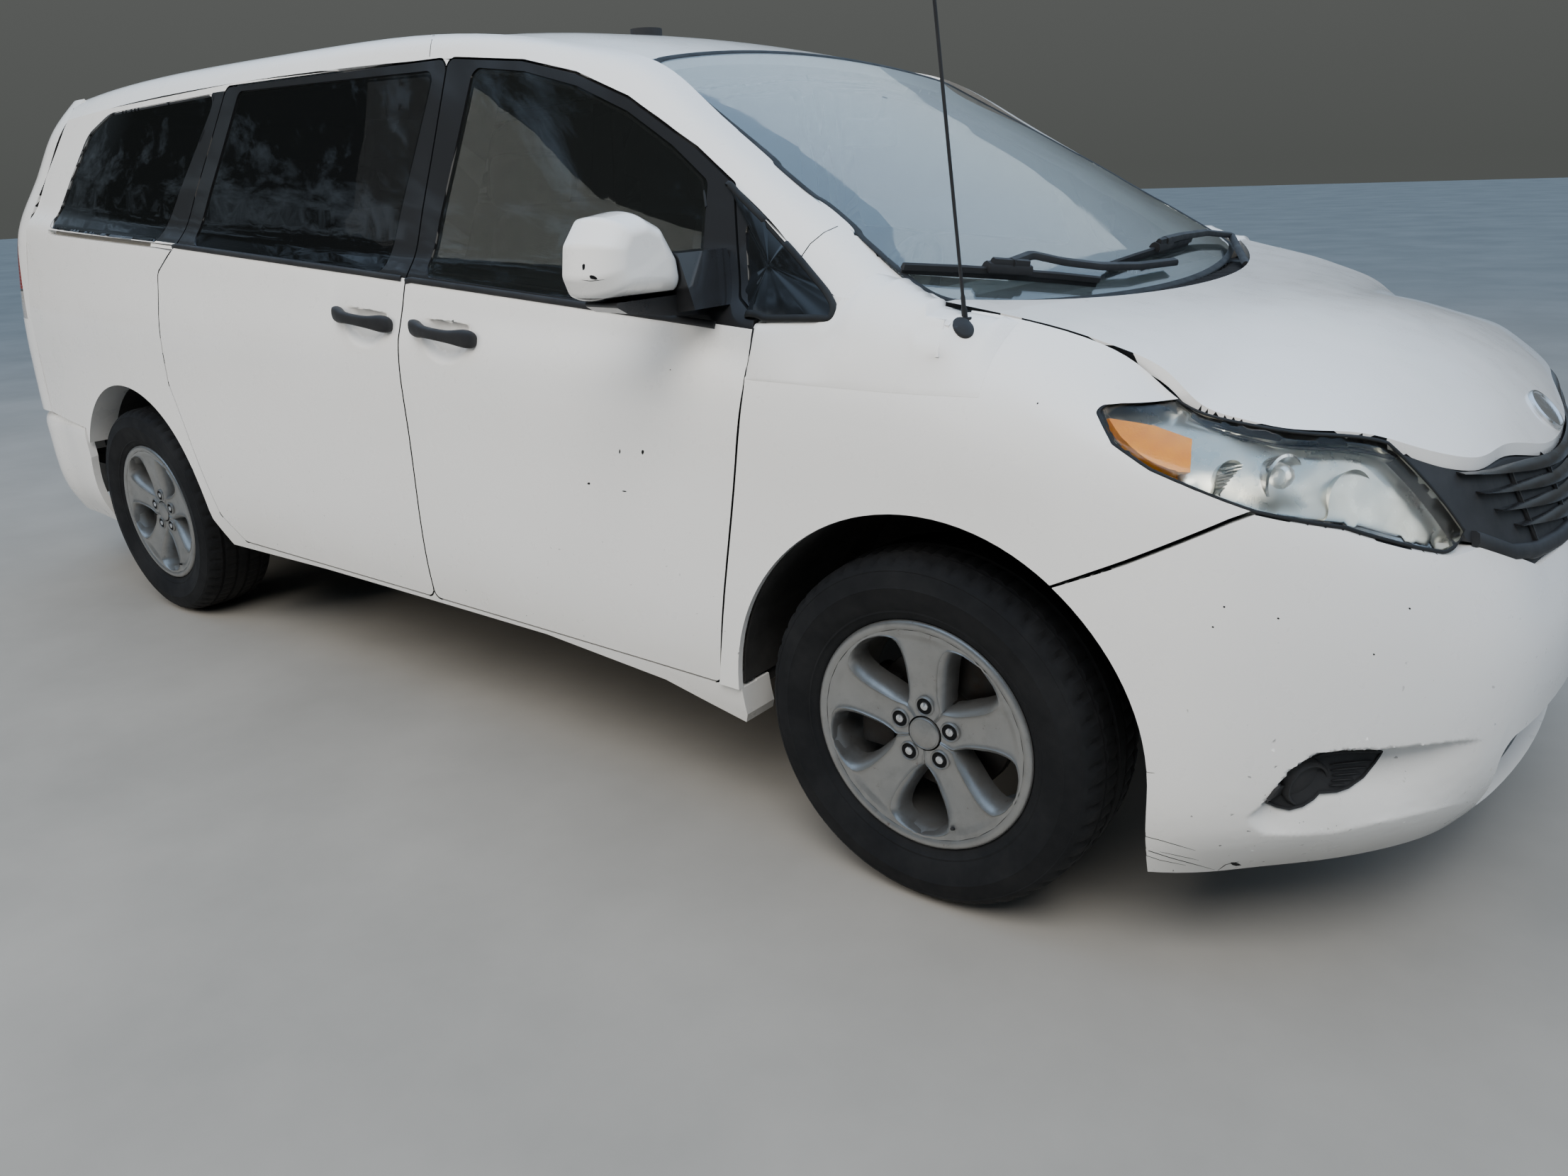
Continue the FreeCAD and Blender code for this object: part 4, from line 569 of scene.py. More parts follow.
def joined(bm, rings):
    """Faces between neighbouring rings, each ring closed on itself."""
    for one, two in zip(rings, rings[1:]):
        for i in range(len(one)):
            j = (i + 1) % len(one)
            bm.faces.new((one[i], one[j], two[j], two[i]))


def cleaned(bm):
    """Welds a closed form and turns its faces outwards."""
    bmesh.ops.remove_doubles(bm, verts=bm.verts[:], dist=WELD)
    bmesh.ops.recalc_face_normals(bm, faces=bm.faces[:])


def laid(bm, found, width, height, closed=False, **more):
    """A bead through points found on a surface, each with its normal."""
    bead(bm, [spot for spot, _ in found], [normal for _, normal in found], width, height, closed, **more)


def around(count, start=0.0):
    """Angles of count points evenly round a circle."""
    return [start + 2 * math.pi * k / count for k in range(count)]


def even(points, step, closed=False):
    """Points spaced evenly along a line through flat points."""
    points = [V(p) for p in points]
    if closed:
        points.append(points[0])
    made = [points[0]]
    for a, b in zip(points, points[1:]):
        parts = max(1, round((b - a).length / step))
        made += [a.lerp(b, k / parts) for k in range(1, parts + 1)]
    return made[:-1] if closed else made


def softened(points, times=2, closed=True):
    """Corner cutting that rounds an outline."""
    points = [V(p) for p in points]
    for _ in range(times):
        fresh = []
        count = len(points)
        for i in range(count if closed else count - 1):
            a, b = points[i], points[(i + 1) % count]
            fresh += [a.lerp(b, 0.25), a.lerp(b, 0.75)]
        if not closed:
            fresh = [points[0]] + fresh[1:-1] + [points[-1]]
        points = fresh
    return points


def filleted(points, radius, steps=5):
    """A closed outline with its corners rounded to a radius."""
    points = [V(p) for p in points]
    made = []
    count = len(points)
    for i, corner in enumerate(points):
        one = (points[i - 1] - corner)
        two = (points[(i + 1) % count] - corner)
        cut = min(radius, one.length * 0.45, two.length * 0.45)
        a, b = corner + one.normalized() * cut, corner + two.normalized() * cut
        for k in range(steps + 1):
            t = k / steps
            made.append(a * (1 - t) ** 2 + corner * 2 * t * (1 - t) + b * t * t)
    return made


# Painted shade on the walls of panel gaps, and lined insides
BODY_SHELL = (
    "side_frame_right", "side_frame_left", "rear_corners", "roof_panel", "front_fenders", "front_bumper",
    "rear_bumper", "sliding_doors", "hood", "tailgate", "fuel_lid", "front_door_right", "front_door_left",
)
AROUND = BODY_SHELL + ("headlamps", "tail_lamps", "grille", "windshield", "cowl_panel", "underbody")
GAP_SHADE_REACH = 0.0075
SMALL_FACE = 0.0004
LINED = {"front_door_right": 0.90, "front_door_left": 0.90, "sliding_doors": 0.90, "side_frame_right": 0.90,
         "side_frame_left": 0.90}


def belt_paint(name, over):
    """White lacquer that turns satin black above the windows' foot line."""
    made = paint(name)
    net = Net(made)
    color_from = net.shader.inputs["Base Color"].links[0].from_socket
    rough_from = net.shader.inputs["Roughness"].links[0].from_socket
    line = net.math("MULTIPLY", net.axis("X"), BELT_SLOPE)
    line = net.math("ADD", line, BELT_Z + over)
    mask = net.math("GREATER_THAN", net.axis("Z"), line)
    if over:
        high = net.math("ADD", net.math("MULTIPLY", net.axis("X"), VENT_LEAN), VENT_TOP)
        vent = net.math("LESS_THAN", net.axis("Z"), high)
        vent = net.math("MULTIPLY", vent, net.math("GREATER_THAN", net.axis("X"), VENT_REAR))
        vent = net.math("MULTIPLY", vent, net.math("GREATER_THAN", net.axis("Z"), VENT_FOOT))
        vent = net.math("MULTIPLY", vent, net.math("LESS_THAN", net.axis("X"), VENT_NOSE))
        edge = net.math("MULTIPLY", net.axis("Z"), PILLAR_LEAN)
        edge = net.math("ADD", edge, PILLAR_X)
        mask = net.math("MULTIPLY", mask, net.math("GREATER_THAN", net.axis("X"), edge))
        mask = net.math("MULTIPLY", mask, net.math("LESS_THAN", net.axis("X"), BAND_FRONT))
        mask = net.math("MULTIPLY", mask, net.math("LESS_THAN", net.axis("Z"), BAND_TOP))
        mask = net.math("MAXIMUM", mask, vent)
    net.color(net.mix(mask, color_from, BAND_COLOR))
    blend = net.node("ShaderNodeMix", data_type="FLOAT")
    net.join(mask, blend.inputs[0])
    net.join(rough_from, blend.inputs[2])
    blend.inputs[3].default_value = BAND_ROUGH
    net.rough(blend.outputs[0])
    return made


BELT_Z = 1.1695
BELT_SLOPE = -0.0665
PILLAR_LEAN = 0.60
PILLAR_X = -1.850
VENT_LEAN = -0.712
VENT_TOP = 2.099
VENT_REAR = 1.05
VENT_NOSE = 1.368
VENT_FOOT = 1.119
BAND_FRONT = -0.70
BAND_TOP = 1.642
BAND_COLOR = (0.014, 0.014, 0.015)
BAND_ROUGH = 0.32
door_paint = belt_paint("door_paint", 0.0)
frame_paint = belt_paint("frame_paint", 0.004)
# Near-black used as painted shade on panel gap walls, seams, nut pockets and the bumper step, and as the
# colour of bare spots chipped through the paint
shade_and_chip_black = plastic("shade_and_chip_black", (0.006, 0.006, 0.006), 0.9, 300.0, 0.05, 0.0)
carpet = plastic("carpet", (0.045, 0.043, 0.04), 0.95, 1500.0, 0.8, 0.2)
lining = plastic("roof_lining", (0.30, 0.29, 0.27), 0.95, 2200.0, 0.4, 0.1)

shell = tree_of(*AROUND)
for name in BODY_SHELL:
    outer = door_paint if "door" in name else frame_paint if "side_frame" in name else white
    inner = lining if name == "roof_panel" else cabin
    dress(name, outer, shade_and_chip_black, inner)
    for face in nodes[name].data.polygons:
        middle, normal = face.center, face.normal
        corners = [nodes[name].data.vertices[i].co for i in face.vertices]
        probes = [middle] + [middle.lerp(corner, 0.7) for corner in corners[:4]]
        if face.area < SMALL_FACE:
            probes = [middle]
        # Faces whose rays meet another panel within the reach are gap walls, and get near-black painted shade
        if all(shell.ray_cast(spot + normal * 0.0002, normal, GAP_SHADE_REACH)[0] is not None for spot in probes):
            face.material_index = 1
        elif name in LINED and abs(middle.y) < LINED[name] and normal.y * middle.y < 0 and middle.z < 1.60:
            face.material_index = 2
        elif name == "roof_panel" and normal.z < -0.3:
            face.material_index = 2
        elif name == "tailgate" and normal.x > 0.4:
            face.material_index = 2
dress("underbody", underside, carpet)
for face in nodes["underbody"].data.polygons:
    if face.normal.z > 0.5 and face.center.z > 0.3 and face.center.x < 1.12 and abs(face.center.y) < 0.86:
        face.material_index = 1


# Carved copies of CAD skins
def carve(name, body, zones, cell, crease=28.0):
    """A copy of a CAD node cut fine inside each zone's box and pushed in by its shift."""
    bm = bmesh.new()
    bm.from_mesh(nodes[name].data)
    bmesh.ops.remove_doubles(bm, verts=bm.verts[:], dist=0.000002)
    for low, high, shift in zones:
        low, high = V(low), V(high)
        for _ in range(9):
            cut = []
            for edge in bm.edges:
                if edge.calc_length() < cell:
                    continue
                a, b = edge.verts[0].co, edge.verts[1].co
                if all(max(a[k], b[k]) > low[k] and min(a[k], b[k]) < high[k] for k in range(3)):
                    cut.append(edge)
            if not cut:
                break
            bmesh.ops.subdivide_edges(bm, edges=cut, cuts=1)
            bmesh.ops.triangulate(bm, faces=[f for f in bm.faces if len(f.verts) > 3])
        for vert in bm.verts:
            if all(low[k] < vert.co[k] < high[k] for k in range(3)):
                vert.co += shift(vert.co.copy())
    made = piece(name + "_skin", bm, body, list(nodes[name].data.materials), crease, "white_paint")
    keep_normals(nodes[name].data, made.data, zones)
    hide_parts(name)
    carved[name] = made
    return made


def keep_normals(source, target, zones):
    """Gives a carved mesh the CAD skin's own shading normals wherever it wasn't pushed."""
    faces = [list(p.vertices) for p in source.polygons]
    search = BVHTree.FromPolygons([v.co for v in source.vertices], faces)
    known = [c.vector.copy() for c in source.corner_normals]
    fresh = [c.vector.copy() for c in target.corner_normals]
    inside = [
        any(all(V(low)[k] < vert.co[k] < V(high)[k] for k in range(3)) for low, high, _ in zones)
        for vert in target.vertices]
    for face in target.polygons:
        if all(inside[i] for i in face.vertices):
            continue
        found = search.find_nearest(face.center)
        old = source.polygons[found[2]]
        corners = [source.vertices[i].co for i in old.vertices]
        for loop in face.loop_indices:
            index = target.loops[loop].vertex_index
            if inside[index]:
                continue
            weights = poly_3d_calc(corners, target.vertices[index].co)
            normal = V((0, 0, 0))
            for weight, corner in zip(weights, old.loop_indices):
                normal += known[corner] * weight
            if normal.length > 0.1:
                fresh[loop] = normal.normalized()
    target.normals_split_custom_set([tuple(n) for n in fresh])


def smooth_step(t):
    """Eases 0 to 1, flat at both ends."""
    t = max(0.0, min(1.0, t))
    return t * t * (3 - 2 * t)


def bowl_shift(x, z, half_x, half_z, depth):
    """Inward push of a rounded finger bowl in a body side."""
    def shift(p):
        side = 1 if p.y > 0 else -1
        reach = math.sqrt(((p.x - x) / half_x) ** 2 + ((p.z - z) / half_z) ** 2)
        return V((0, -side * depth * smooth_step((1.0 - reach) / 0.55), 0))
    return shift


# Finger bowls: x, z, half length, half height, depth
DOOR_BOWL = (0.300, 1.042, 0.100, 0.074, 0.024)
SLIDER_BOWL = (-0.020, 1.062, 0.100, 0.074, 0.024)


def bowl_zone(bowl, side):
    """Box and push of one finger bowl on one side."""
    x, z, half_x, half_z, _ = bowl
    inner, outer = 0.955, 1.03
    low_y, high_y = (-outer, -inner) if side < 0 else (inner, outer)
    return ((x - half_x, low_y, z - half_z), (x + half_x, high_y, z + half_z), bowl_shift(*bowl))


for side, sign in SIDES:
    carve("front_door_" + side, "front_door_%s_leaf" % side, [bowl_zone(DOOR_BOWL, sign)], 0.009)
carve("sliding_doors", "body", [bowl_zone(SLIDER_BOWL, -1), bowl_zone(SLIDER_BOWL, 1)], 0.009)

# Bumper recess round the fog lamp blank, drawn on the picture: top edge and ledge
RECESS_TOP = ((1757, 1162), (1790, 1128), (1822, 1086), (1856, 1065), (1890, 1059), (1948, 1058),
              (2020, 1052), (2095, 1042))
RECESS_LEDGE = ((1757, 1163), (1785, 1177), (1820, 1178), (1880, 1175), (1945, 1160), (2000, 1148),
                (2040, 1138), (2095, 1122))


def along_line(line, u):
    """Height of a picture line at u, or None beyond its ends."""
    for (u0, v0), (u1, v1) in zip(line, line[1:]):
        if u0 <= u <= u1:
            return v0 + (v1 - v0) * (u - u0) / (u1 - u0)
    return None


def seen_at(p):
    """Picture place of a point of the right-hand side."""
    offset = p - CAM_PLACE
    depth = offset.dot(-backward)
    return (PHOTO_CENTRE[0] + PHOTO_FOCAL * offset.dot(right) / depth,
            PHOTO_CENTRE[1] - PHOTO_FOCAL * offset.dot(up) / depth)


RECESS_DEPTH = 0.060
RECESS_PUSH = V((-0.80, 0.55, 0.0))


def recess_shift(p):
    """Push of a bumper point into the recess, deepest under its top edge."""
    side = 1 if p.y > 0 else -1
    u, v = seen_at(V((p.x, -abs(p.y), p.z)))
    top = along_line(RECESS_TOP, u)
    ledge = along_line(RECESS_LEDGE, u)
    if top is None or not top < v < ledge:
        return V((0, 0, 0))
    share = smooth_step((v - top) / 3.5) * ((ledge - v) / max(1.0, ledge - top)) ** 0.8
    share *= smooth_step((u - 1757) / 60.0) * (1 - smooth_step((u - 1950) / 145.0)) ** 0.8
    return V((RECESS_PUSH.x, -side * RECESS_PUSH.y, 0)) * (RECESS_DEPTH * share)


recess_zones = [
    ((2.13, -0.93, 0.27), (2.50, -0.55, 0.50), recess_shift),
    ((2.13, 0.55, 0.27), (2.50, 0.93, 0.50), recess_shift),
]
carve("front_bumper", "body", recess_zones, 0.0085, 24.0)


# Door handles: offset along, half height, low face and high face above the skin
HANDLE_ROWS = (
    (-0.122, 0.010, -0.002, 0.010), (-0.118, 0.019, -0.002, 0.020), (-0.088, 0.0225, -0.002, 0.030),
    (-0.066, 0.018, 0.008, 0.034), (-0.045, 0.0145, 0.018, 0.038), (0.0, 0.014, 0.020, 0.040),
    (0.045, 0.0150, 0.018, 0.038), (0.066, 0.0185, 0.008, 0.034), (0.088, 0.0225, -0.002, 0.030),
    (0.112, 0.0205, -0.002, 0.022), (0.118, 0.010, -0.002, 0.010),
)


def handle(bowl):
    """A pull handle with a broad pad at each end, standing over its bowl."""
    x, z = bowl[0], bowl[1]
    bm = bmesh.new()
    rings = []
    for along, half, low, high in HANDLE_ROWS:
        base = V((x + along, OUTER_Y[bowl], z))
        drift = -0.010 * along / 0.118
        ring = []
        for a, b in ((-1, low), (-1.0, low * 0.3 + high * 0.7), (-0.62, high), (0.62, high),
                     (1.0, low * 0.3 + high * 0.7), (1, low)):
            ring.append(bm.verts.new(base + V((0, -b, a * half + drift))))
        rings.append(ring)
    for one, two in zip(rings, rings[1:]):
        for i in range(6):
            j = (i + 1) % 6
            bm.faces.new((one[i], two[i], two[j], one[j]))
    bm.faces.new(rings[0])
    bm.faces.new(rings[-1][::-1])
    bmesh.ops.recalc_face_normals(bm, faces=bm.faces[:])
    return bm


HANDLE_NODES = {DOOR_BOWL: ("front_door_right",), SLIDER_BOWL: ("sliding_doors",)}
OUTER_Y = {}
for bowl, names in HANDLE_NODES.items():
    place, _ = drop(bowl[0] - bowl[2] - 0.015, bowl[1], -1, *names)
    OUTER_Y[bowl] = place.y
HANDLES = (("door_handle", DOOR_BOWL, "front_door_{}_leaf"), ("slider_handle", SLIDER_BOWL, "body"))
for name, bowl, body in HANDLES:
    pair(name, handle(bowl), body, trim_black, crease=60, slot="black_plastic", levels=2)


# Fog lamp blank: bezel, round dummy and ribbed wing, drawn on the picture
def patch(bm, outline, find, lift, rows=5):
    """A filled sheet over an outline, its points laid on a surface and raised."""
    outline = [V(p) for p in outline]
    middle = sum(outline, V((0, 0))) / len(outline)
    rings = []
    for k in range(rows, 0, -1):
        ring = []
        for p in outline:
            q = middle.lerp(p, k / rows)
            place, normal = find(q.x, q.y)
            ring.append(bm.verts.new(place + normal * lift))
        rings.append(ring)
    place, normal = find(middle.x, middle.y)
    tip = bm.verts.new(place + normal * lift)
    count = len(outline)
    joined(bm, rings)
    for i in range(count):
        bm.faces.new((rings[-1][i], rings[-1][(i + 1) % count], tip))
    return rings[0]


def on_bumper(u, v):
    """Point and normal of the front bumper under a picture point."""
    return pick(u, v, "front_bumper")


FOG_OUTLINE = [crop7(*p) for p in (
    (630, 508), (660, 470), (690, 433), (740, 388), (800, 362), (860, 355), (985, 352), (962, 385),
    (925, 430), (880, 462), (845, 474), (790, 478), (772, 497), (740, 518), (700, 529), (660, 520),
)]
FOG_RIBS = (
    ((822, 392), (955, 378)), ((826, 408), (938, 398)), ((830, 424), (918, 416)), ((828, 440), (896, 434)),
    ((822, 455), (870, 452)),
)
bm = bmesh.new()
patch(bm, even(FOG_OUTLINE, 6.0, True), on_bumper, 0.003, 4)
pair("fog_blank", bm, "body", trim_black, crease=50, slot="black_plastic")
bm = bmesh.new()
laid(bm, [on_bumper(p.x, p.y) for p in even(FOG_OUTLINE, 6.0, True)], 0.006, 0.006, True)
for a, b in FOG_RIBS:
    laid(bm, [on_bumper(*crop7(*V(a).lerp(V(b), k / 6))) for k in range(7)], 0.004, 0.0075, taper=True)
pair("fog_ribs", bm, "body", trim_black, crease=40, slot="black_plastic")
bm = bmesh.new()
ring_centre, _ = on_bumper(*crop7(748, 448))
dummy_axis = V((0.80, -0.56, -0.10)).normalized()
across = dummy_axis.cross(V((0, 0, 1))).normalized()
upward = across.cross(dummy_axis)
DUMMY_R = 0.037
DUMMY_PROFILE = ((1.12, -0.012), (1.12, 0.006), (1.04, 0.011), (0.94, 0.010), (0.88, 0.002), (0.80, 0.001),
                 (0.5, 0.005), (0.0, 0.007))
rings = []
for share, out in DUMMY_PROFILE:
    rings.append([
        bm.verts.new(ring_centre + (across * math.cos(t) + upward * math.sin(t)) * (DUMMY_R * share)
                     + dummy_axis * out) for t in around(36)])
joined(bm, rings)
cleaned(bm)
pair("fog_dummy", bm, "body", trim_black, crease=40, slot="black_plastic")


# Wheels
def gauge(table, at):
    """Straight-line reading of a table of place and value."""
    for (a, x), (b, y) in zip(table, table[1:]):
        if at <= b:
            return x + (y - x) * max(0.0, at - a) / (b - a)
    return table[-1][1]


HALF_STEP = 36.0
SPOKE_HALF = ((0.050, 36.0), (0.064, 36.0), (0.074, 27.0), (0.088, 21.0), (0.105, 17.5), (0.130, 14.8),
              (0.160, 14.0), (0.185, 15.2), (0.198, 18.5), (0.206, 25.0), (0.2105, 36.0), (0.230, 36.0))
SPOKE_FACE = ((0.0, 0.079), (0.036, 0.080), (0.064, 0.080), (0.100, 0.083), (0.160, 0.091), (0.205, 0.097),
              (0.214, 0.098))
SPOKE_ROWS = (0.036, 0.044, 0.052, 0.060, 0.066, 0.072, 0.080, 0.090, 0.102, 0.118, 0.136, 0.156, 0.174,
              0.188, 0.197, 0.203, 0.207, 0.2105, 0.214)
SPOKE_CROSS = (0.0, 0.35, 0.70, 0.86, 0.93, 1.0)
WELL_DROPS = ((2.2, 0.004), (4.2, 0.016), (5.6, 0.034), (6.0, 0.052))


def spoke_ring():
    """Five broad spokes with raised edges and deep walled windows, about the origin."""
    bm = bmesh.new()
    for spoke in range(5):
        middle = math.pi / 2 + 2 * math.pi * spoke / 5
        for flank in (-1, 1):
            rows = []
            for r in SPOKE_ROWS:
                half = gauge(SPOKE_HALF, r)
                face = gauge(SPOKE_FACE, r)
                row = []
                for c in SPOKE_CROSS:
                    ridge = 0.0022 if c == 0.93 else 0.0
                    hollow = -0.004 * (1 - c * c) if 0.07 < r < 0.2 else 0.0
                    row.append((r, c * half, face + ridge + hollow))
                for degrees, deep in WELL_DROPS:
                    scale = min(1.0, (HALF_STEP - half) / 6.0) * min(1.0, 0.11 / r)
                    angle = min(HALF_STEP, half + degrees * scale * 1.25)
                    row.append((r, angle, face - deep * min(1.0, (HALF_STEP - half) / 8.0)))
                rows.append([
                    bm.verts.new(V((rr * math.cos(middle + flank * math.radians(t)), -out,
                                    rr * math.sin(middle + flank * math.radians(t))))) for rr, t, out in row])
            for one, two in zip(rows, rows[1:]):
                for i in range(len(one) - 1):
                    corners = (one[i], one[i + 1], two[i + 1], two[i])
                    bm.faces.new(corners if flank > 0 else corners[::-1])
    bmesh.ops.remove_doubles(bm, verts=bm.verts[:], dist=0.00004)
    bad = [f for f in bm.faces if f.calc_area() < 1e-9]
    bmesh.ops.delete(bm, geom=bad, context="FACES_ONLY")
    return bm


WHEEL_FACE = ((0.214, 0.0985), (0.219, 0.1015), (0.2255, 0.1025), (0.2305, 0.1000), (0.2325, 0.0955),
              (0.2310, 0.0925))
BARREL = ((0.2140, 0.0985), (0.2120, 0.0900), (0.2060, 0.0780), (0.2045, 0.0600), (0.2040, -0.0300),
          (0.2030, -0.0700), (0.2130, -0.0850), (0.2320, -0.0920))
NUT_CIRCLE = 0.05715
NUT_SPOTS = [(NUT_CIRCLE * math.cos(t), 0, NUT_CIRCLE * math.sin(t)) for t in around(5, math.pi / 2)]
WHEEL_HUB = (0.86, 0.352)
SHOULDER_CUT = 0.9820
RIB_CUT = 0.9900
TYRE_STEPS = 216
AXLES = (("front", 1.5825), ("rear", -1.4475))


def wheel_bm():
    """Spokes, outer flange and barrel of one alloy wheel."""
    bm = spoke_ring()
    lathe(bm, WHEEL_FACE, 100)
    lathe(bm, BARREL, 80)
    return bm


def tyre_bm():
    """Tyre with a ribbed, sipe-cut tread and lettering-free side walls."""
    bm = bmesh.new()
    wall = [(0.2330, 0.0945), (0.2365, 0.0985), (0.2420, 0.1010), (0.2480, 0.1040), (0.2500, 0.1062),
            (0.2540, 0.1062), (0.2560, 0.1075), (0.2760, 0.1140), (0.2960, 0.1170), (0.2990, 0.1182),
            (0.3020, 0.1170), (0.3150, 0.1160), (0.3290, 0.1115), (0.3310, 0.1120), (0.3380, 0.1075),
            (0.3455, 0.0990)]
    tread = [(0.3500, 0.0900), (0.3528, 0.0760), (0.3535, 0.0700), (0.3465, 0.0680), (0.3465, 0.0600),
             (0.3545, 0.0580), (0.3562, 0.0300), (0.3565, 0.0250), (0.3490, 0.0235), (0.3490, 0.0150),
             (0.3568, 0.0135), (0.3570, 0.0)]
    outer = wall + tread
    profile = outer + [(r, -out) for r, out in outer[-2::-1]]
    rings = lathe(bm, profile, TYRE_STEPS)
    shoulder = [i for i, (r, out) in enumerate(profile) if abs(out) >= 0.0755 and r > 0.344]
    ribs = [i for i, (r, out) in enumerate(profile) if r > 0.353 and 0.0240 < abs(out) < 0.06]
    for k, ring in enumerate(rings):
        if k % 4 == 0:
            for i in shoulder:
                spot = ring[i].co
                spot.x *= SHOULDER_CUT
                spot.z *= SHOULDER_CUT
        if k % 3 == 0:
            for i in ribs:
                spot = ring[i].co
                spot.x *= RIB_CUT
                spot.z *= RIB_CUT
    return bm


def place_wheel(bm, x, side):
    """Moves a wheel part to its axle, mirrored for the left side."""
    for vert in bm.verts:
        vert.co += V((x, -WHEEL_HUB[0], WHEEL_HUB[1]))
    if side > 0:
        twin = flipped(bm)
        bm.free()
        return twin
    return bm


def hex_nut(bm, centre, size, low, high):
    """A lug nut: flanged hexagon with a domed end."""
    rings = []
    for share, out, sides in ((1.25, low, 0), (1.25, low + 0.003, 0), (1.0, low + 0.004, 1),
                              (1.0, high - 0.004, 1), (0.8, high, 0), (0.0, high + 0.002, 0)):
        ring = []
        for k in range(24):
            t = 2 * math.pi * k / 24
            r = size * share
            if sides:
                r *= math.cos(math.pi / 6) / math.cos((t % (math.pi / 3)) - math.pi / 6)
            ring.append(bm.verts.new(V(centre) + V((r * math.cos(t), -out, r * math.sin(t)))))
        rings.append(ring)
    joined(bm, rings)


alloy = metal("wheel_alloy", (0.46, 0.455, 0.44), 0.36, (0.10, 0.085, 0.07), 0.35, 500.0)
alloy_net = Net(alloy)
alloy_color = alloy_net.shader.inputs["Base Color"].links[0].from_socket
spots = alloy_net.ramp(alloy_net.noise(42.0, 8.0, 0.75), (0.62, 0.0), (0.72, 0.8))
alloy_net.color(alloy_net.mix(spots, alloy_color, (0.16, 0.09, 0.08)))
rubber = plastic("tyre_rubber", (0.0085, 0.0085, 0.009), 0.82, 700.0, 0.35, 0.22)
disc_iron = metal("disc_iron", (0.10, 0.09, 0.08), 0.5, (0.09, 0.045, 0.025), 0.7)

CAP_PROFILE = ((0.0330, 0.0790), (0.0325, 0.0830), (0.0305, 0.0845), (0.0290, 0.0835), (0.0275, 0.0842),
               (0.0, 0.0858))
POCKET_PROFILE = ((0.0205, 0.0780), (0.0200, 0.0822), (0.0180, 0.0838), (0.0162, 0.0826), (0.0160, 0.0812))
WELL_PROFILE = ((0.0160, 0.0815), (0.0158, 0.0812), (0.0, 0.0811))
DISC_PROFILE = (
    (0.0, 0.052), (0.070, 0.052), (0.074, 0.048), (0.076, 0.012), (0.080, 0.010), (0.146, 0.010),
    (0.148, 0.008), (0.148, 0.002), (0.140, 0.001), (0.140, -0.006), (0.148, -0.007), (0.148, -0.013),
    (0.080, -0.014), (0.066, -0.014), (0.0, -0.014),
)
VALVE_TURN = -1.18

for axle, x in AXLES:
    for side, sign in SIDES:
        body = "wheel_%s_%s" % (axle, side)
        made = piece("alloy_wheel_%s_%s" % (axle, side), place_wheel(wheel_bm(), x, sign), body, alloy, 42.0,
                     "rim_alloy")
        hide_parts("rim_%s_%s" % (axle, side))
        made = piece("road_tyre_%s_%s" % (axle, side), place_wheel(tyre_bm(), x, sign), body, rubber, 30.0,
                     "tyre_rubber")
        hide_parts("tyre_%s_%s" % (axle, side))
        nuts = bmesh.new()
        for spot in NUT_SPOTS:
            hex_nut(nuts, spot, 0.0095, 0.062, 0.0835)
        piece("lug_nuts_%s_%s" % (axle, side), place_wheel(nuts, x, sign), body, chrome, 30.0, "steel")
        pockets = bmesh.new()
        for spot in NUT_SPOTS:
            lathe(pockets, POCKET_PROFILE, 32, spot)
        lathe(pockets, CAP_PROFILE, 48)
        piece("hub_cap_%s_%s" % (axle, side), place_wheel(pockets, x, sign), body, alloy, 30.0, "rim_alloy")
        # Near-black discs of painted shade in the bottoms of the nut pockets
        well_shade = bmesh.new()
        for spot in NUT_SPOTS:
            lathe(well_shade, WELL_PROFILE, 24, spot)
        piece("lug_wells_%s_%s" % (axle, side), place_wheel(well_shade, x, sign), body, shade_and_chip_black, 30.0)
        disc = bmesh.new()
        lathe(disc, DISC_PROFILE, 72)
        piece("brake_disc_%s_%s" % (axle, side), place_wheel(disc, x, sign), body, disc_iron, 30.0,
              "cast_metal")
        valve = bmesh.new()
        root = V((0.200 * math.cos(VALVE_TURN), -0.070, 0.200 * math.sin(VALVE_TURN)))
        tip = root + V((-0.012 * math.cos(VALVE_TURN), -0.030, -0.012 * math.sin(VALVE_TURN)))
        tube(valve, [root, root.lerp(tip, 0.55), root.lerp(tip, 0.56), tip],
             [0.0055, 0.0050, 0.0036, 0.0034], 12)
        piece("valve_%s_%s" % (axle, side), place_wheel(valve, x, sign), body, trim_black, 40.0)
        caliper = bmesh.new()
        block(caliper, (-0.165, -0.052, -0.075), (-0.085, 0.045, 0.075), 0.012)
        holder = "knuckle_%s_body" % side if axle == "front" else "body"
        piece("caliper_%s_%s" % (axle, side), place_wheel(caliper, x, sign), holder, cast, 40.0, "cast_metal")


# Headlamps: clear lens over a bucket with its reflectors, projector and amber corner
def skin_of(name, keep):
    """A mesh of those faces of a CAD node that keep(face) wants."""
    bm = bmesh.new()
    bm.from_mesh(nodes[name].data)
    bm.normal_update()
    bmesh.ops.delete(bm, geom=[f for f in bm.faces if not keep(f)], context="FACES")
    bmesh.ops.remove_doubles(bm, verts=bm.verts[:], dist=0.000002)
    return bm


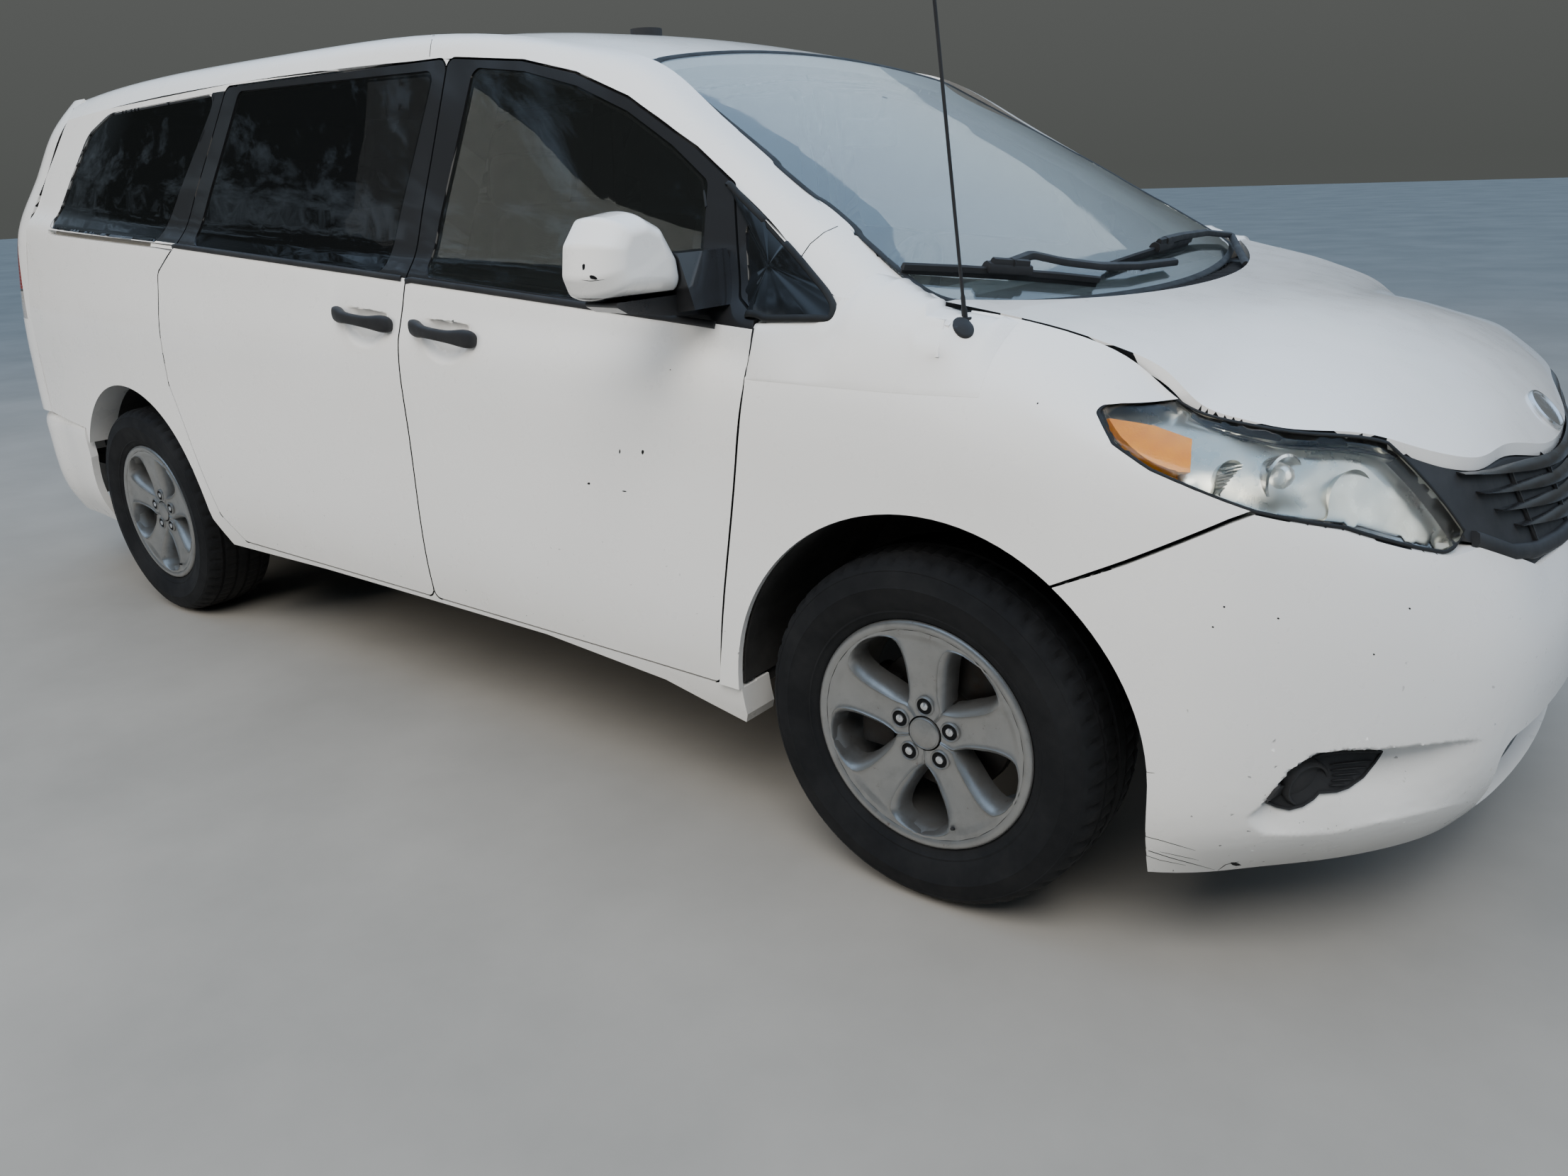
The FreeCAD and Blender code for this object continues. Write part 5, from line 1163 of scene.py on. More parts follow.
def rim_of(bm):
    """The longest open edge of a mesh as points and normals in order."""
    links = {}
    for edge in bm.edges:
        if edge.is_boundary:
            one, two = edge.verts
            links.setdefault(one, []).append(two)
            links.setdefault(two, []).append(one)
    best, seen = [], set()
    for first in links:
        if first in seen:
            continue
        walk = [first]
        seen.add(first)
        while True:
            onward = [v for v in links[walk[-1]] if v not in seen]
            if not onward:
                break
            walk.append(onward[0])
            seen.add(onward[0])
        if len(walk) > len(best):
            best = walk
    return [v.co.copy() for v in best], [v.normal.copy() for v in best]


LAMP_OUT = V((0.70, -0.45, 0.55))
INTO_LAMP = V((-0.72, 0.40, -0.42))


def lamp_front(face):
    """True on the outward skin of the right-hand headlamp."""
    normal, middle = face.normal, face.calc_center_median()
    return middle.y < 0 and normal.dot(LAMP_OUT) > 0.42


lens = skin_of("headlamps", lamp_front)
LENS_T = 0.003
BUCKET = 0.034
bucket = lens.copy()
for vert in bucket.verts:
    vert.co += INTO_LAMP * BUCKET
rim_edges = [e for e in bucket.edges if e.is_boundary]
wall = bmesh.ops.extrude_edge_only(bucket, edges=rim_edges)["geom"]
for vert in [g for g in wall if isinstance(g, bmesh.types.BMVert)]:
    vert.co -= INTO_LAMP * (BUCKET - 0.004)
lens_mat = material("lamp_lens", (0.93, 0.93, 0.89), 0.08, 0.0, Transmission_Weight=1.0, IOR=1.22)
lens_net = Net(lens_mat)
haze = lens_net.ramp(lens_net.noise(5.0, 6.0, 0.6), (0.35, 0.03), (0.75, 0.16))
lens_net.rough(haze)
bucket_mat = metal("lamp_reflector", (0.62, 0.63, 0.61), 0.22, (0.30, 0.30, 0.27), 0.3)
bucket_net = Net(bucket_mat)
bucket_net.bump(bucket_net.noise(9.0, 1.0, 0.3), 0.8, 0.02)
amber = material("amber_reflector", (0.85, 0.16, 0.004), 0.25, 0.0, Coat_Weight=0.4)
amber_net = Net(amber)
prism = amber_net.node("ShaderNodeTexVoronoi")
prism.inputs["Scale"].default_value = 260.0
amber_net.join(amber_net.place, prism.inputs["Vector"])
amber_net.bump(prism.outputs["Distance"], 0.4, 0.001)
amber_tones = ((0.3, (0.72, 0.23, 0.0)), (0.8, (0.88, 0.32, 0.001)))
amber_net.color(amber_net.ramp(amber_net.noise(40.0, 3.0), *amber_tones))
bulb_glass = material("lamp_dome", (0.88, 0.90, 0.90), 0.03, 0.0, Transmission_Weight=0.75, IOR=1.45)

for made in pair("lamp_lens", lens.copy(), "body", lens_mat, crease=180, slot="lamp_lens"):
    thick = made.modifiers.new("thick", "SOLIDIFY")
    thick.thickness = LENS_T
    thick.offset = -1.0
    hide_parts("headlamps")
pair("lamp_bucket", bucket, "body", bucket_mat, crease=180)


def in_lamp(u, v, deep):
    """Point under the lens at a picture place, deep metres behind its skin."""
    place, normal = pick(u, v, "headlamps")
    return place - normal * deep, normal


AMBER = [crop6(*p) for p in ((146, 140), (212, 148), (290, 160), (348, 180), (405, 200), (402, 256),
                             (398, 312), (362, 310), (330, 302), (290, 285), (250, 262), (215, 232),
                             (182, 196))]
bm = bmesh.new()
patch(bm, even(AMBER, 6.0, True), lambda u, v: in_lamp(u, v, 0.012), 0.0, 3)
amber_face = bm.faces[:]
grown = bmesh.ops.extrude_face_region(bm, geom=amber_face)["geom"]
for vert in [g for g in grown if isinstance(g, bmesh.types.BMVert)]:
    vert.co += INTO_LAMP * 0.014
pair("lamp_amber", bm, "body", amber, crease=40)

lamp_axis = V((0.90, -0.40, 0.12)).normalized()
lamp_across = lamp_axis.cross(V((0, 0, 1))).normalized()
lamp_up = lamp_across.cross(lamp_axis)


def bowl_bm(centre, profile, sides=40, squash=1.0):
    """A round lamp part about the lamp axis: profile of radius and forward distance."""
    bm = bmesh.new()
    rings = []
    for r, out in profile:
        spots = [centre + (lamp_across * math.cos(t) + lamp_up * math.sin(t) * squash) * r + lamp_axis * out
                 for t in around(sides)]
        rings.append([bm.verts.new(spot) for spot in spots])
    joined(bm, rings)
    bmesh.ops.remove_doubles(bm, verts=bm.verts[:], dist=WELD)
    return bm


PROJECTOR_RING = ((0.037, -0.010), (0.043, 0.012), (0.044, 0.018), (0.040, 0.020), (0.034, 0.012),
                  (0.030, 0.004))
PROJECTOR_DOME = ((0.031, 0.004), (0.029, 0.013), (0.024, 0.020), (0.015, 0.025), (0.0, 0.027))
HIGH_BEAM = ((0.052, 0.022), (0.050, 0.018), (0.042, 0.002), (0.030, -0.008), (0.016, -0.014),
             (0.012, -0.006), (0.0, 0.0))
FLUTED_BOWL = ((0.034, 0.012), (0.028, 0.000), (0.018, -0.008), (0.008, -0.010), (0.0, -0.004))
spot, _ = in_lamp(*crop6(705, 300), 0.050)
pair("lamp_projector_ring", bowl_bm(spot, PROJECTOR_RING), "body", chrome, crease=50)
pair("lamp_projector_dome", bowl_bm(spot, PROJECTOR_DOME), "body", bulb_glass, crease=180)
spot, _ = in_lamp(*crop6(935, 370), 0.056)
pair("lamp_high_beam", bowl_bm(spot, HIGH_BEAM, squash=0.9), "body", bucket_mat, crease=50)
spot, _ = in_lamp(*crop6(520, 300), 0.040)
bm = bowl_bm(spot, FLUTED_BOWL, squash=0.9)
for k in range(9):
    level = -0.020 + 0.005 * k
    reach = math.sqrt(max(0.0, 0.031 ** 2 - level ** 2))
    line = [spot + lamp_across * (reach * (2 * j / 8 - 1)) + lamp_up * level + lamp_axis * 0.012
            for j in range(9)]
    bead(bm, line, [lamp_axis] * 9, 0.0035, 0.0035)
pair("lamp_fluted_bowl", bm, "body", bucket_mat, crease=60)

# Black gasket round each lamp, on its outer edge
bm = bmesh.new()
bead(bm, *rim_of(lens), 0.0065, 0.0016, True)
pair("lamp_gasket", bm, "body", seal, crease=60)
lens.free()


# Grille: curved slats, posts and the lip below them
def grille_skin(y, z):
    """Point and outward normal on the front of the grille at y and z."""
    place, normal, _, _ = tree_of("grille").ray_cast(V((4.0, y, z)), V((-1, 0, 0)))
    if place is None:
        place, normal, _, _ = tree_of("grille").find_nearest(V((2.5, y, z)))
    if normal.x < 0:
        normal = -normal
    return place, normal


gloss_black = plastic("gloss_black", (0.012, 0.012, 0.013), 0.18, 600.0, 0.04, 0.3)
bm = bmesh.new()
SLAT_SECTION = ((-0.5, 0.10), (-0.46, 0.75), (-0.28, 1.0), (0.10, 0.80), (0.40, 0.35), (0.5, 0.0))
SLAT_Z = (0.808, 0.778, 0.749, 0.721)
SLAT_HALF = (0.575, 0.545, 0.500, 0.440)
for level in range(4):
    half = SLAT_HALF[level]
    spots, normals = [], []
    for k in range(41):
        y = half * (2 * k / 40 - 1)
        z = SLAT_Z[level] + 0.050 * (abs(y) / 0.5) ** 1.6
        place, normal = grille_skin(y, z)
        spots.append(place)
        normals.append(V((normal.x, normal.y, 0.05)).normalized())
    bead(bm, spots, normals, 0.023, 0.015, section=SLAT_SECTION, taper=True)
piece("grille_slats", bm, "body", gloss_black, 50.0, "black_plastic")
bm = bmesh.new()
for y in (-0.38, -0.19, 0.0, 0.19, 0.38):
    laid(bm, [grille_skin(y, 0.842 - 0.128 * k / 11) for k in range(12)], 0.008, 0.007)
piece("grille_posts", bm, "body", gloss_black, 50.0, "black_plastic")
GRILLE_EDGE = ((-0.600, 0.772), (-0.418, 0.6955), (0.418, 0.6955), (0.600, 0.772))
bm = bmesh.new()
laid(bm, [grille_skin(*p) for p in even(softened([V(p) for p in GRILLE_EDGE], 2, False), 0.02)], 0.030, 0.013)
piece("grille_lip", bm, "body", trim_black, 50.0, "black_plastic")

# Plain oval badge on the hood's nose
front = tree_of("hood").ray_cast(V((4, 0, 0.875)), V((-1, 0, 0)))
badge_at, badge_normal = front[0], front[1]
if badge_normal.x < 0:
    badge_normal = -badge_normal
badge_across = V((0, 1, 0))
badge_up = badge_normal.cross(badge_across).normalized()
if badge_up.z < 0:
    badge_up = -badge_up
BADGE_HALF = (0.066, 0.045)
BADGE_PROFILE = ((1.0, -0.004), (1.0, 0.0035), (0.95, 0.0065), (0.88, 0.0060), (0.84, 0.0035), (0.60, 0.0042),
                 (0.30, 0.0048), (0.0, 0.0050))
bm = bmesh.new()
rings = []
for share, out in BADGE_PROFILE:
    ring = []
    for t in around(56):
        flat = (badge_across * (BADGE_HALF[0] * share * math.cos(t))
                + badge_up * (BADGE_HALF[1] * share * math.sin(t)))
        ring.append(bm.verts.new(badge_at + flat + badge_normal * out))
    rings.append(ring)
joined(bm, rings)
cleaned(bm)
piece("plain_badge", bm, "hood_lid", chrome, 40.0)

# Mirrors: white cap, black foot and glass
MIRROR_FOOT_Z = 1.166
MIRROR_INNER_Y = 0.992
SAIL_Y = 1.024
SAIL_REAR_X = 1.046
SAIL_TOP_Z = 1.234
GLASS_OUTLINE = ((0.996, 1.170), (0.998, 1.212), (1.044, 1.280), (1.098, 1.302), (1.166, 1.294),
                 (1.200, 1.252), (1.208, 1.200), (1.194, 1.168))
GLASS_X = 0.9990
GLASS_RINGS = ((0.90, 1.0015), (0.90, 0.9985), (0.86, 0.9975), (0.84, GLASS_X), (0.40, GLASS_X),
               (0.0, GLASS_X))
mirror_mat = paint("mirror_paint")
mirror_net = Net(mirror_mat)
mirror_color = mirror_net.shader.inputs["Base Color"].links[0].from_socket
side_way = mirror_net.math("ABSOLUTE", mirror_net.axis("Y"))
mask_low = mirror_net.math("LESS_THAN", mirror_net.axis("Z"), MIRROR_FOOT_Z)
mask_in = mirror_net.math("LESS_THAN", side_way, MIRROR_INNER_Y)
mask_sail = mirror_net.math("LESS_THAN", side_way, SAIL_Y)
sail_rear = mirror_net.math("GREATER_THAN", mirror_net.axis("X"), SAIL_REAR_X)
mask_sail = mirror_net.math("MULTIPLY", mask_sail, sail_rear)
sail_low = mirror_net.math("LESS_THAN", mirror_net.axis("Z"), SAIL_TOP_Z)
mask_sail = mirror_net.math("MULTIPLY", mask_sail, sail_low)
mask = mirror_net.math("MAXIMUM", mirror_net.math("MAXIMUM", mask_low, mask_in), mask_sail)
mirror_net.color(mirror_net.mix(mask, mirror_color, (0.016, 0.016, 0.017)))
for side, sign in SIDES:
    dress("door_mirror_" + side, mirror_mat)
    leaf = "front_door_%s_leaf" % side
    bm = bmesh.new()
    outline = filleted(GLASS_OUTLINE, 0.02, 4)
    centre = sum(outline, V((0, 0))) / len(outline)
    rings = []
    for share, x in GLASS_RINGS:
        flat = [centre + (p - centre) * share for p in outline]
        rings.append([bm.verts.new((x, sign * p.x, p.y)) for p in flat])
    joined(bm, rings)
    cleaned(bm)
    bm.faces.ensure_lookup_table()
    made = piece("mirror_glass_" + side, bm, leaf, [trim_black, chrome], 30.0)
    for face in made.data.polygons:
        if abs(face.center.x - GLASS_X) < 0.0004:
            face.material_index = 1


# Black bands round the fixed side windows, seals and belt mouldings
def band_between(bm, inner, outer, find, lift):
    """A sheet between two outlines, each point of the outer one joined to the nearest inner one."""
    ring = []
    for p in outer:
        place, normal = find(p.x, p.y)
        ring.append(bm.verts.new(place + normal * lift))
    inside = []
    for p in outer:
        q = min(inner, key=lambda c: (c - p).length)
        place, normal = find(q.x, q.y)
        inside.append(bm.verts.new(place + normal * lift))
    count = len(outer)
    for i in range(count):
        j = (i + 1) % count
        bm.faces.new((ring[i], ring[j], inside[j], inside[i]))
    bmesh.ops.remove_doubles(bm, verts=bm.verts[:], dist=0.00005)


QUARTER = ((-1.085, 1.254), (-0.862, 1.626), (-1.500, 1.612), (-1.640, 1.560), (-1.830, 1.296))
QUARTER_BAND = ((-1.100, 1.240), (-0.842, 1.640), (-1.505, 1.626), (-1.656, 1.570), (-1.850, 1.286))
FRONT_GLASS = ((0.218, 1.176), (0.272, 1.606), (0.430, 1.586), (0.600, 1.544), (0.760, 1.484), (0.900, 1.412),
               (1.006, 1.345), (1.048, 1.118))
SLIDER_GLASS = ((-0.862, 1.244), (-0.716, 1.624), (0.112, 1.612), (0.037, 1.185))


def side_find(sign, *names):
    """A finder of points on one body side by x and z."""
    return lambda x, z: drop(x, z, sign, *names)


for side, sign in SIDES:
    frame_name = "side_frame_" + side
    find = side_find(sign, frame_name)
    bm = bmesh.new()
    outside = even(filleted(QUARTER_BAND, 0.038, 5), 0.012, True)
    within = even(filleted(QUARTER, 0.026, 8), 0.004, True)
    band_between(bm, within, outside, find, 0.0009)
    if sign < 0:
        bmesh.ops.reverse_faces(bm, faces=bm.faces[:])
    piece("quarter_band_%s" % side, bm, "body", frame_black, 40.0, "black_plastic")
    for label, outline, body, name in (
            ("quarter", QUARTER, "body", frame_name),
            ("front_door", FRONT_GLASS, "front_door_%s_leaf" % side, "front_door_" + side),
            ("slider", SLIDER_GLASS, "body", "sliding_doors")):
        bm = bmesh.new()
        centre = sum((V(p) for p in outline), V((0, 0))) / len(outline)
        ring = [p + (p - centre).normalized() * 0.0035 for p in even(filleted(outline, 0.026, 5), 0.02, True)]
        laid(bm, [drop(p.x, p.y, sign, name) for p in ring], 0.0065, 0.0016, True)
        piece("%s_seal_%s" % (label, side), bm, body, seal, 60.0)

# Belt mouldings and the slider's rail
RAIL_Z = 1.2315
RAIL_SLOPE = (1.281 - 1.240) / -0.77
for side, sign in SIDES:
    for label, x0, x1, name, body in (
            ("front_belt", 0.140, 1.120, "front_door_" + side, "front_door_%s_leaf" % side),
            ("slider_belt", -0.985, 0.125, "sliding_doors", "body")):
        bm = bmesh.new()
        along = [x0 + (x1 - x0) * k / 40 for k in range(41)]
        laid(bm, [drop(x, BELT_Z + BELT_SLOPE * x - 0.002, sign, name) for x in along], 0.0150, 0.0050)
        piece("%s_%s" % (label, side), bm, body, trim_black, 50.0, "black_plastic")
    bm = bmesh.new()
    along = [-1.075 - 0.760 * k / 40 for k in range(41)]
    rail = [drop(x, RAIL_Z + (x + 1.08) * RAIL_SLOPE, sign, "side_frame_" + side) for x in along]
    laid(bm, rail, 0.022, 0.0022)
    rail_grey = material("rail_grey_" + side, (0.20, 0.19, 0.17), 0.45, 0.3)
    piece("slider_rail_" + side, bm, "body", rail_grey, 50.0)

# Smooth corner where fender and pillar meet, over the joint of the CAD skins
FOOT_AXIS = (-0.70, 1.02)
FOOT_X = (1.214, 1.690)
FOOT_LOW = -4.0
FOOT_COLUMNS = 60
FOOT_ROWS = 34
FILM_ROUNDS = 260
FOOT_TOP = ((1.214, 19.0), (1.345, 19.0), (1.385, 30.0), (1.420, 50.0), (1.500, 62.0), (1.560, 60.0),
            (1.600, 50.0), (1.690, 36.0))


def foot_reach(x, degrees):
    """How far the body skin lies from the pillar-foot axis at an angle, seen from outside."""
    t = math.radians(degrees)
    out = V((0, -math.cos(t), math.sin(t)))
    axis = V((x, FOOT_AXIS[0], FOOT_AXIS[1]))
    place, _, _, _ = tree_of("side_frame_right", "front_fenders").ray_cast(axis + out * 0.6, -out)
    return None if place is None else (place - axis).dot(out)


grid, angles = [], []
for i in range(FOOT_COLUMNS + 1):
    x = FOOT_X[0] + (FOOT_X[1] - FOOT_X[0]) * i / FOOT_COLUMNS
    top = gauge(FOOT_TOP, x)
    last = None
    limit = top
    degrees = FOOT_LOW
    while degrees <= top:
        reach = foot_reach(x, degrees)
        if reach is None or (last is not None and reach < last - 0.045):
            limit = degrees - 2.5
            break
        last = reach
        degrees += 1.0
    angles.append([FOOT_LOW + (limit - FOOT_LOW) * j / FOOT_ROWS for j in range(FOOT_ROWS + 1)])
    column = [foot_reach(x, a) for a in angles[-1]]
    for j in range(len(column)):
        if column[j] is None:
            column[j] = column[j - 1] if j else 0.25
    grid.append(column)
film = [column[:] for column in grid]
for _ in range(FILM_ROUNDS):
    for i in range(1, FOOT_COLUMNS):
        for j in range(1, FOOT_ROWS):
            level = (film[i - 1][j] + film[i + 1][j] + film[i][j - 1] + film[i][j + 1]) / 4
            film[i][j] = max(grid[i][j], level)
bm = bmesh.new()
rows = []
for i in range(FOOT_COLUMNS + 1):
    x = FOOT_X[0] + (FOOT_X[1] - FOOT_X[0]) * i / FOOT_COLUMNS
    row = []
    for j in range(FOOT_ROWS + 1):
        t = math.radians(angles[i][j])
        edge = i in (0, FOOT_COLUMNS) or j in (0, FOOT_ROWS)
        reach = film[i][j] + (0.0003 if edge else 0.0012)
        row.append(bm.verts.new((x, FOOT_AXIS[0] - math.cos(t) * reach, FOOT_AXIS[1] + math.sin(t) * reach)))
    rows.append(row)
for one, two in zip(rows, rows[1:]):
    for j in range(FOOT_ROWS):
        bm.faces.new((one[j], two[j], two[j + 1], one[j + 1]))
pair("fender_shoulder", bm, "body", white, crease=180, slot="white_paint")


# Seats in woven cloth
cloth = material("seat_cloth", (0.24, 0.22, 0.19), 0.95, 0.0, Sheen_Weight=0.4)
cloth_net = Net(cloth)
weave = cloth_net.node("ShaderNodeTexWave")
weave.inputs["Scale"].default_value = 420.0
weave.inputs["Distortion"].default_value = 1.5
cloth_net.join(cloth_net.place, weave.inputs["Vector"])
cloth_tones = ((0.3, (0.20, 0.185, 0.16)), (0.8, (0.29, 0.27, 0.235)))
cloth_net.color(cloth_net.ramp(cloth_net.noise(18.0, 6.0), *cloth_tones))
cloth_net.bump(weave.outputs["Fac"], 0.35, 0.0006)


def pad(bm, centre, size, lean=0.0, crown=0.18, bolster=0.10, channels=()):
    """A padded cushion: crowned, its sides pulled in, with side bolsters and sewn channels."""
    cut = bmesh.new()
    bmesh.ops.create_cube(cut, size=2.0)
    bmesh.ops.subdivide_edges(cut, edges=cut.edges[:], cuts=9, use_grid_fill=True)
    turned = Matrix.Rotation(lean, 3, "Y")
    fresh = {}
    for vert in cut.verts:
        a, b, c = vert.co
        soft_a = a * (1 - 0.10 * b ** 4 - 0.10 * c * c)
        soft_b = b * (1 - 0.08 * a ** 4 - 0.10 * c * c)
        rise = c * (0.80 + crown * (1 - a * a) * (1 - b ** 4))
        if c > 0:
            rise += bolster * math.exp(-((abs(b) - 0.82) / 0.16) ** 2) * (1 - 0.6 * a ** 4)
            for where in channels:
                rise -= 0.09 * math.exp(-((b - where) / 0.03) ** 2) * (1 - a ** 8)
            rise -= 0.07 * math.exp(-((abs(b) - 0.60) / 0.03) ** 2) * (1 - a ** 8)
        spot = V((soft_a * size[0] / 2, soft_b * size[1] / 2, rise * size[2] / 2))
        fresh[vert.index] = bm.verts.new(turned @ spot + V(centre))
    for face in cut.faces:
        bm.faces.new([fresh[v.index] for v in face.verts])
    cut.free()


def seat_pieces(label, x, y, z, width, heads):
    """Cushion, back and head restraints of one seat, inside its CAD block."""
    base = bmesh.new()
    pad(base, (x + 0.200, y, z + 0.072), (0.520, width, 0.125), -0.03, channels=(0.0,))
    made = piece("seat_base_" + label, base, "body", cloth, 180, "seat_fabric", 1)
    rest = bmesh.new()
    pad(rest, (x - 0.060, y, z + 0.345), (0.560, width * 0.96, 0.130), -1.39, channels=(0.0,))
    made_rest = piece("seat_rest_" + label, rest, "body", cloth, 180, "seat_fabric", 1)
    for k, head_y in enumerate(heads):
        head = bmesh.new()
        pad(head, (x - 0.142, head_y, z + 0.675), (0.150, 0.250, 0.095), -1.45, bolster=0.0)
        made_head = piece("head_rest_%s_%d" % (label, k), head, "body", cloth, 180, "seat_fabric", 1)
        posts = bmesh.new()
        for off in (-0.06, 0.06):
            foot = V((x - 0.128, head_y + off, z + 0.560))
            tube(posts, [foot, V((x - 0.138, head_y + off, z + 0.660))], 0.006, 10)
        piece("head_posts_%s_%d" % (label, k), posts, "body", chrome, 60)
    frame_bm = bmesh.new()
    block(frame_bm, (x - 0.02, y - width * 0.36, z - 0.280), (x + 0.400, y + width * 0.36, z + 0.020), 0.012)
    piece("seat_plinth_" + label, frame_bm, "body", cabin, 40, "cabin_plastic")
    return made


first = seat_pieces("front_right", 0.150, -0.400, 0.690, 0.500, (-0.400,))
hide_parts("front_seats")
seat_pieces("front_left", 0.150, 0.400, 0.690, 0.500, (0.400,))
first = seat_pieces("middle_right", -0.720, -0.430, 0.690, 0.480, (-0.430,))
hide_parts("rear_seats")
seat_pieces("middle_left", -0.720, 0.430, 0.690, 0.480, (0.430,))
seat_pieces("third_row", -1.560, 0.0, 0.740, 1.150, (-0.38, 0.0, 0.38))

# Steering wheel's leather, the mirror inside, cowl ribs
leather = plastic("wheel_leather", (0.02, 0.02, 0.021), 0.5, 1600.0, 0.5, 0.1)
dress("steering_wheel", leather)
place = tree_of("windshield").ray_cast(V((0.90, 0.0, 3.0)), V((0, 0, -1)))[0]
bm = bmesh.new()
inside = V((0.86, 0.0, place.z - 0.085))
block(bm, inside + V((-0.016, -0.115, -0.033)), inside + V((0.010, 0.115, 0.033)), 0.010)
stem = [inside + V((0.005, 0, 0.02)), inside + V((0.035, 0, 0.055)), V((0.90, 0.0, place.z - 0.004))]
tube(bm, stem, 0.008, 10)
piece("inside_mirror", bm, "body", trim_black, 40)
bm = bmesh.new()
for k in range(34):
    y = -0.62 + 1.24 * k / 33
    back = 1.655 - 0.10 * (abs(y) / 0.8) ** 2
    laid(bm, [down(back + 0.06 * j / 4, y, "cowl_panel") for j in range(5)], 0.006, 0.004)
piece("cowl_ribs", bm, "body", trim_black, 50)

# Wipers: blade, hinged arm and pivot cap, in place of the plain rods
SCREEN_UP = V((0.44, 0, 0.90))
BLADE_SECTION = ((-0.5, 0), (-0.35, 0.8), (0, 1.0), (0.35, 0.8), (0.5, 0))


def on_screen(u, v, lift=0.0):
    """Point over the windscreen's foot under a point of the 2.613-times crop."""
    place, _ = pick(*crop26(u, v), "windshield", "cowl_panel")
    return place + SCREEN_UP * lift


def wiper(name, blade, joint, arm):
    """One wiper: a rubber blade along the glass, its joint, and an arm back to the cowl."""
    bm = bmesh.new()
    spots = even([on_screen(*p, 0.012) for p in blade], 0.03)
    normals = [SCREEN_UP] * len(spots)
    bead(bm, spots, normals, 0.011, 0.012, section=BLADE_SECTION)
    bead(bm, [s - SCREEN_UP * 0.011 for s in spots], normals, 0.004, 0.013)
    middle = on_screen(*joint, 0.018)
    nearest = min(range(1, len(spots) - 1), key=lambda i: (spots[i] - middle).length)
    middle = spots[nearest] + SCREEN_UP * 0.006
    along = (spots[nearest + 1] - spots[nearest - 1]).normalized()
    marks = [middle + along * s for s in (-0.055, -0.046, -0.02, 0.02, 0.046, 0.055)]
    bead(bm, marks, [SCREEN_UP] * 6, 0.026, 0.015)
    bead(bm, marks[1:5], [SCREEN_UP] * 4, 0.016, 0.024)
    route = [middle + SCREEN_UP * 0.014] + [on_screen(*p, lift) for p, lift in arm]
    route = softened(even(route, 0.03), 2, False)
    bead(bm, route, [SCREEN_UP] * len(route), 0.021, 0.011)
    return piece(name, bm, "body", trim_black, 45, "black_plastic")


RIGHT_BLADE = ((180, 150), (400, 158), (600, 170), (760, 182), (900, 196))
RIGHT_ARM = (((640, 128), 0.026), ((760, 146), 0.022), ((900, 158), 0.020), ((1040, 152), 0.018),
             ((1180, 128), 0.014))
LEFT_BLADE = ((945, 138), (1040, 105), (1130, 75), (1240, 42))
LEFT_ARM = (((1190, 48), 0.024), ((1290, 26), 0.020), ((1390, 30), 0.016), ((1455, 52), 0.012))
made = wiper("wiper_right", RIGHT_BLADE, (565, 168), RIGHT_ARM)
wiper("wiper_left", LEFT_BLADE, (1130, 72), LEFT_ARM)
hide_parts("wipers")
carved["fender_shoulder_right"] = bpy.data.objects["fender_shoulder_right"]
OUTSIDE = ("side_frame_right", "front_fenders", "fender_shoulder_right")


# Dark glass over the whole vent, with its rubber lip
VENT_PANEL = [crop24(*p) for p in ((490, 172), (600, 285), (712, 408), (800, 515), (824, 562), (812, 600),
                                   (492, 602))]
vent_line = even(filleted(VENT_PANEL, 7.0, 4), 5.0, True)
vent_rim = [pick(p.x, p.y, "side_frame_right", "front_fenders") for p in vent_line]
centre = sum((spot for spot, _ in vent_rim), V()) / len(vent_rim)
facing = sum((normal for _, normal in vent_rim), V()).normalized()
heights = [(spot - centre).dot(facing) for spot, _ in vent_rim]
count = len(vent_rim)
vent_rim = [(spot + facing * (max(heights[(i + k) % count] for k in range(-4, 5)) - heights[i]), normal)
            for i, (spot, normal) in enumerate(vent_rim)]
bm = bmesh.new()
VENT_LIFT = 0.0020
VENT_BULGE = 0.0075
rings = []
for k in range(6, 0, -1):
    lift = facing * (VENT_LIFT + VENT_BULGE * (1 - (k / 6) ** 2))
    rings.append([bm.verts.new(centre.lerp(spot, k / 6) + lift) for spot, _ in vent_rim])
tip = bm.verts.new(centre + facing * (VENT_LIFT + VENT_BULGE))
joined(bm, rings)
for i in range(count):
    bm.faces.new((rings[-1][i], rings[-1][(i + 1) % count], tip))
if sum((f.normal for f in bm.faces), V()).dot(facing) < 0:
    bmesh.ops.reverse_faces(bm, faces=bm.faces[:])
vent_black = plastic("vent_black", (0.008, 0.009, 0.010), 0.06, 300.0, 0.0, 0.0)
pair("vent_glass", bm, "body", vent_black, crease=180)
bm = bmesh.new()
bead(bm, [spot for spot, _ in vent_rim], [facing] * len(vent_rim), 0.014, 0.0045, True)
pair("vent_lip", bm, "body", seal, crease=60)


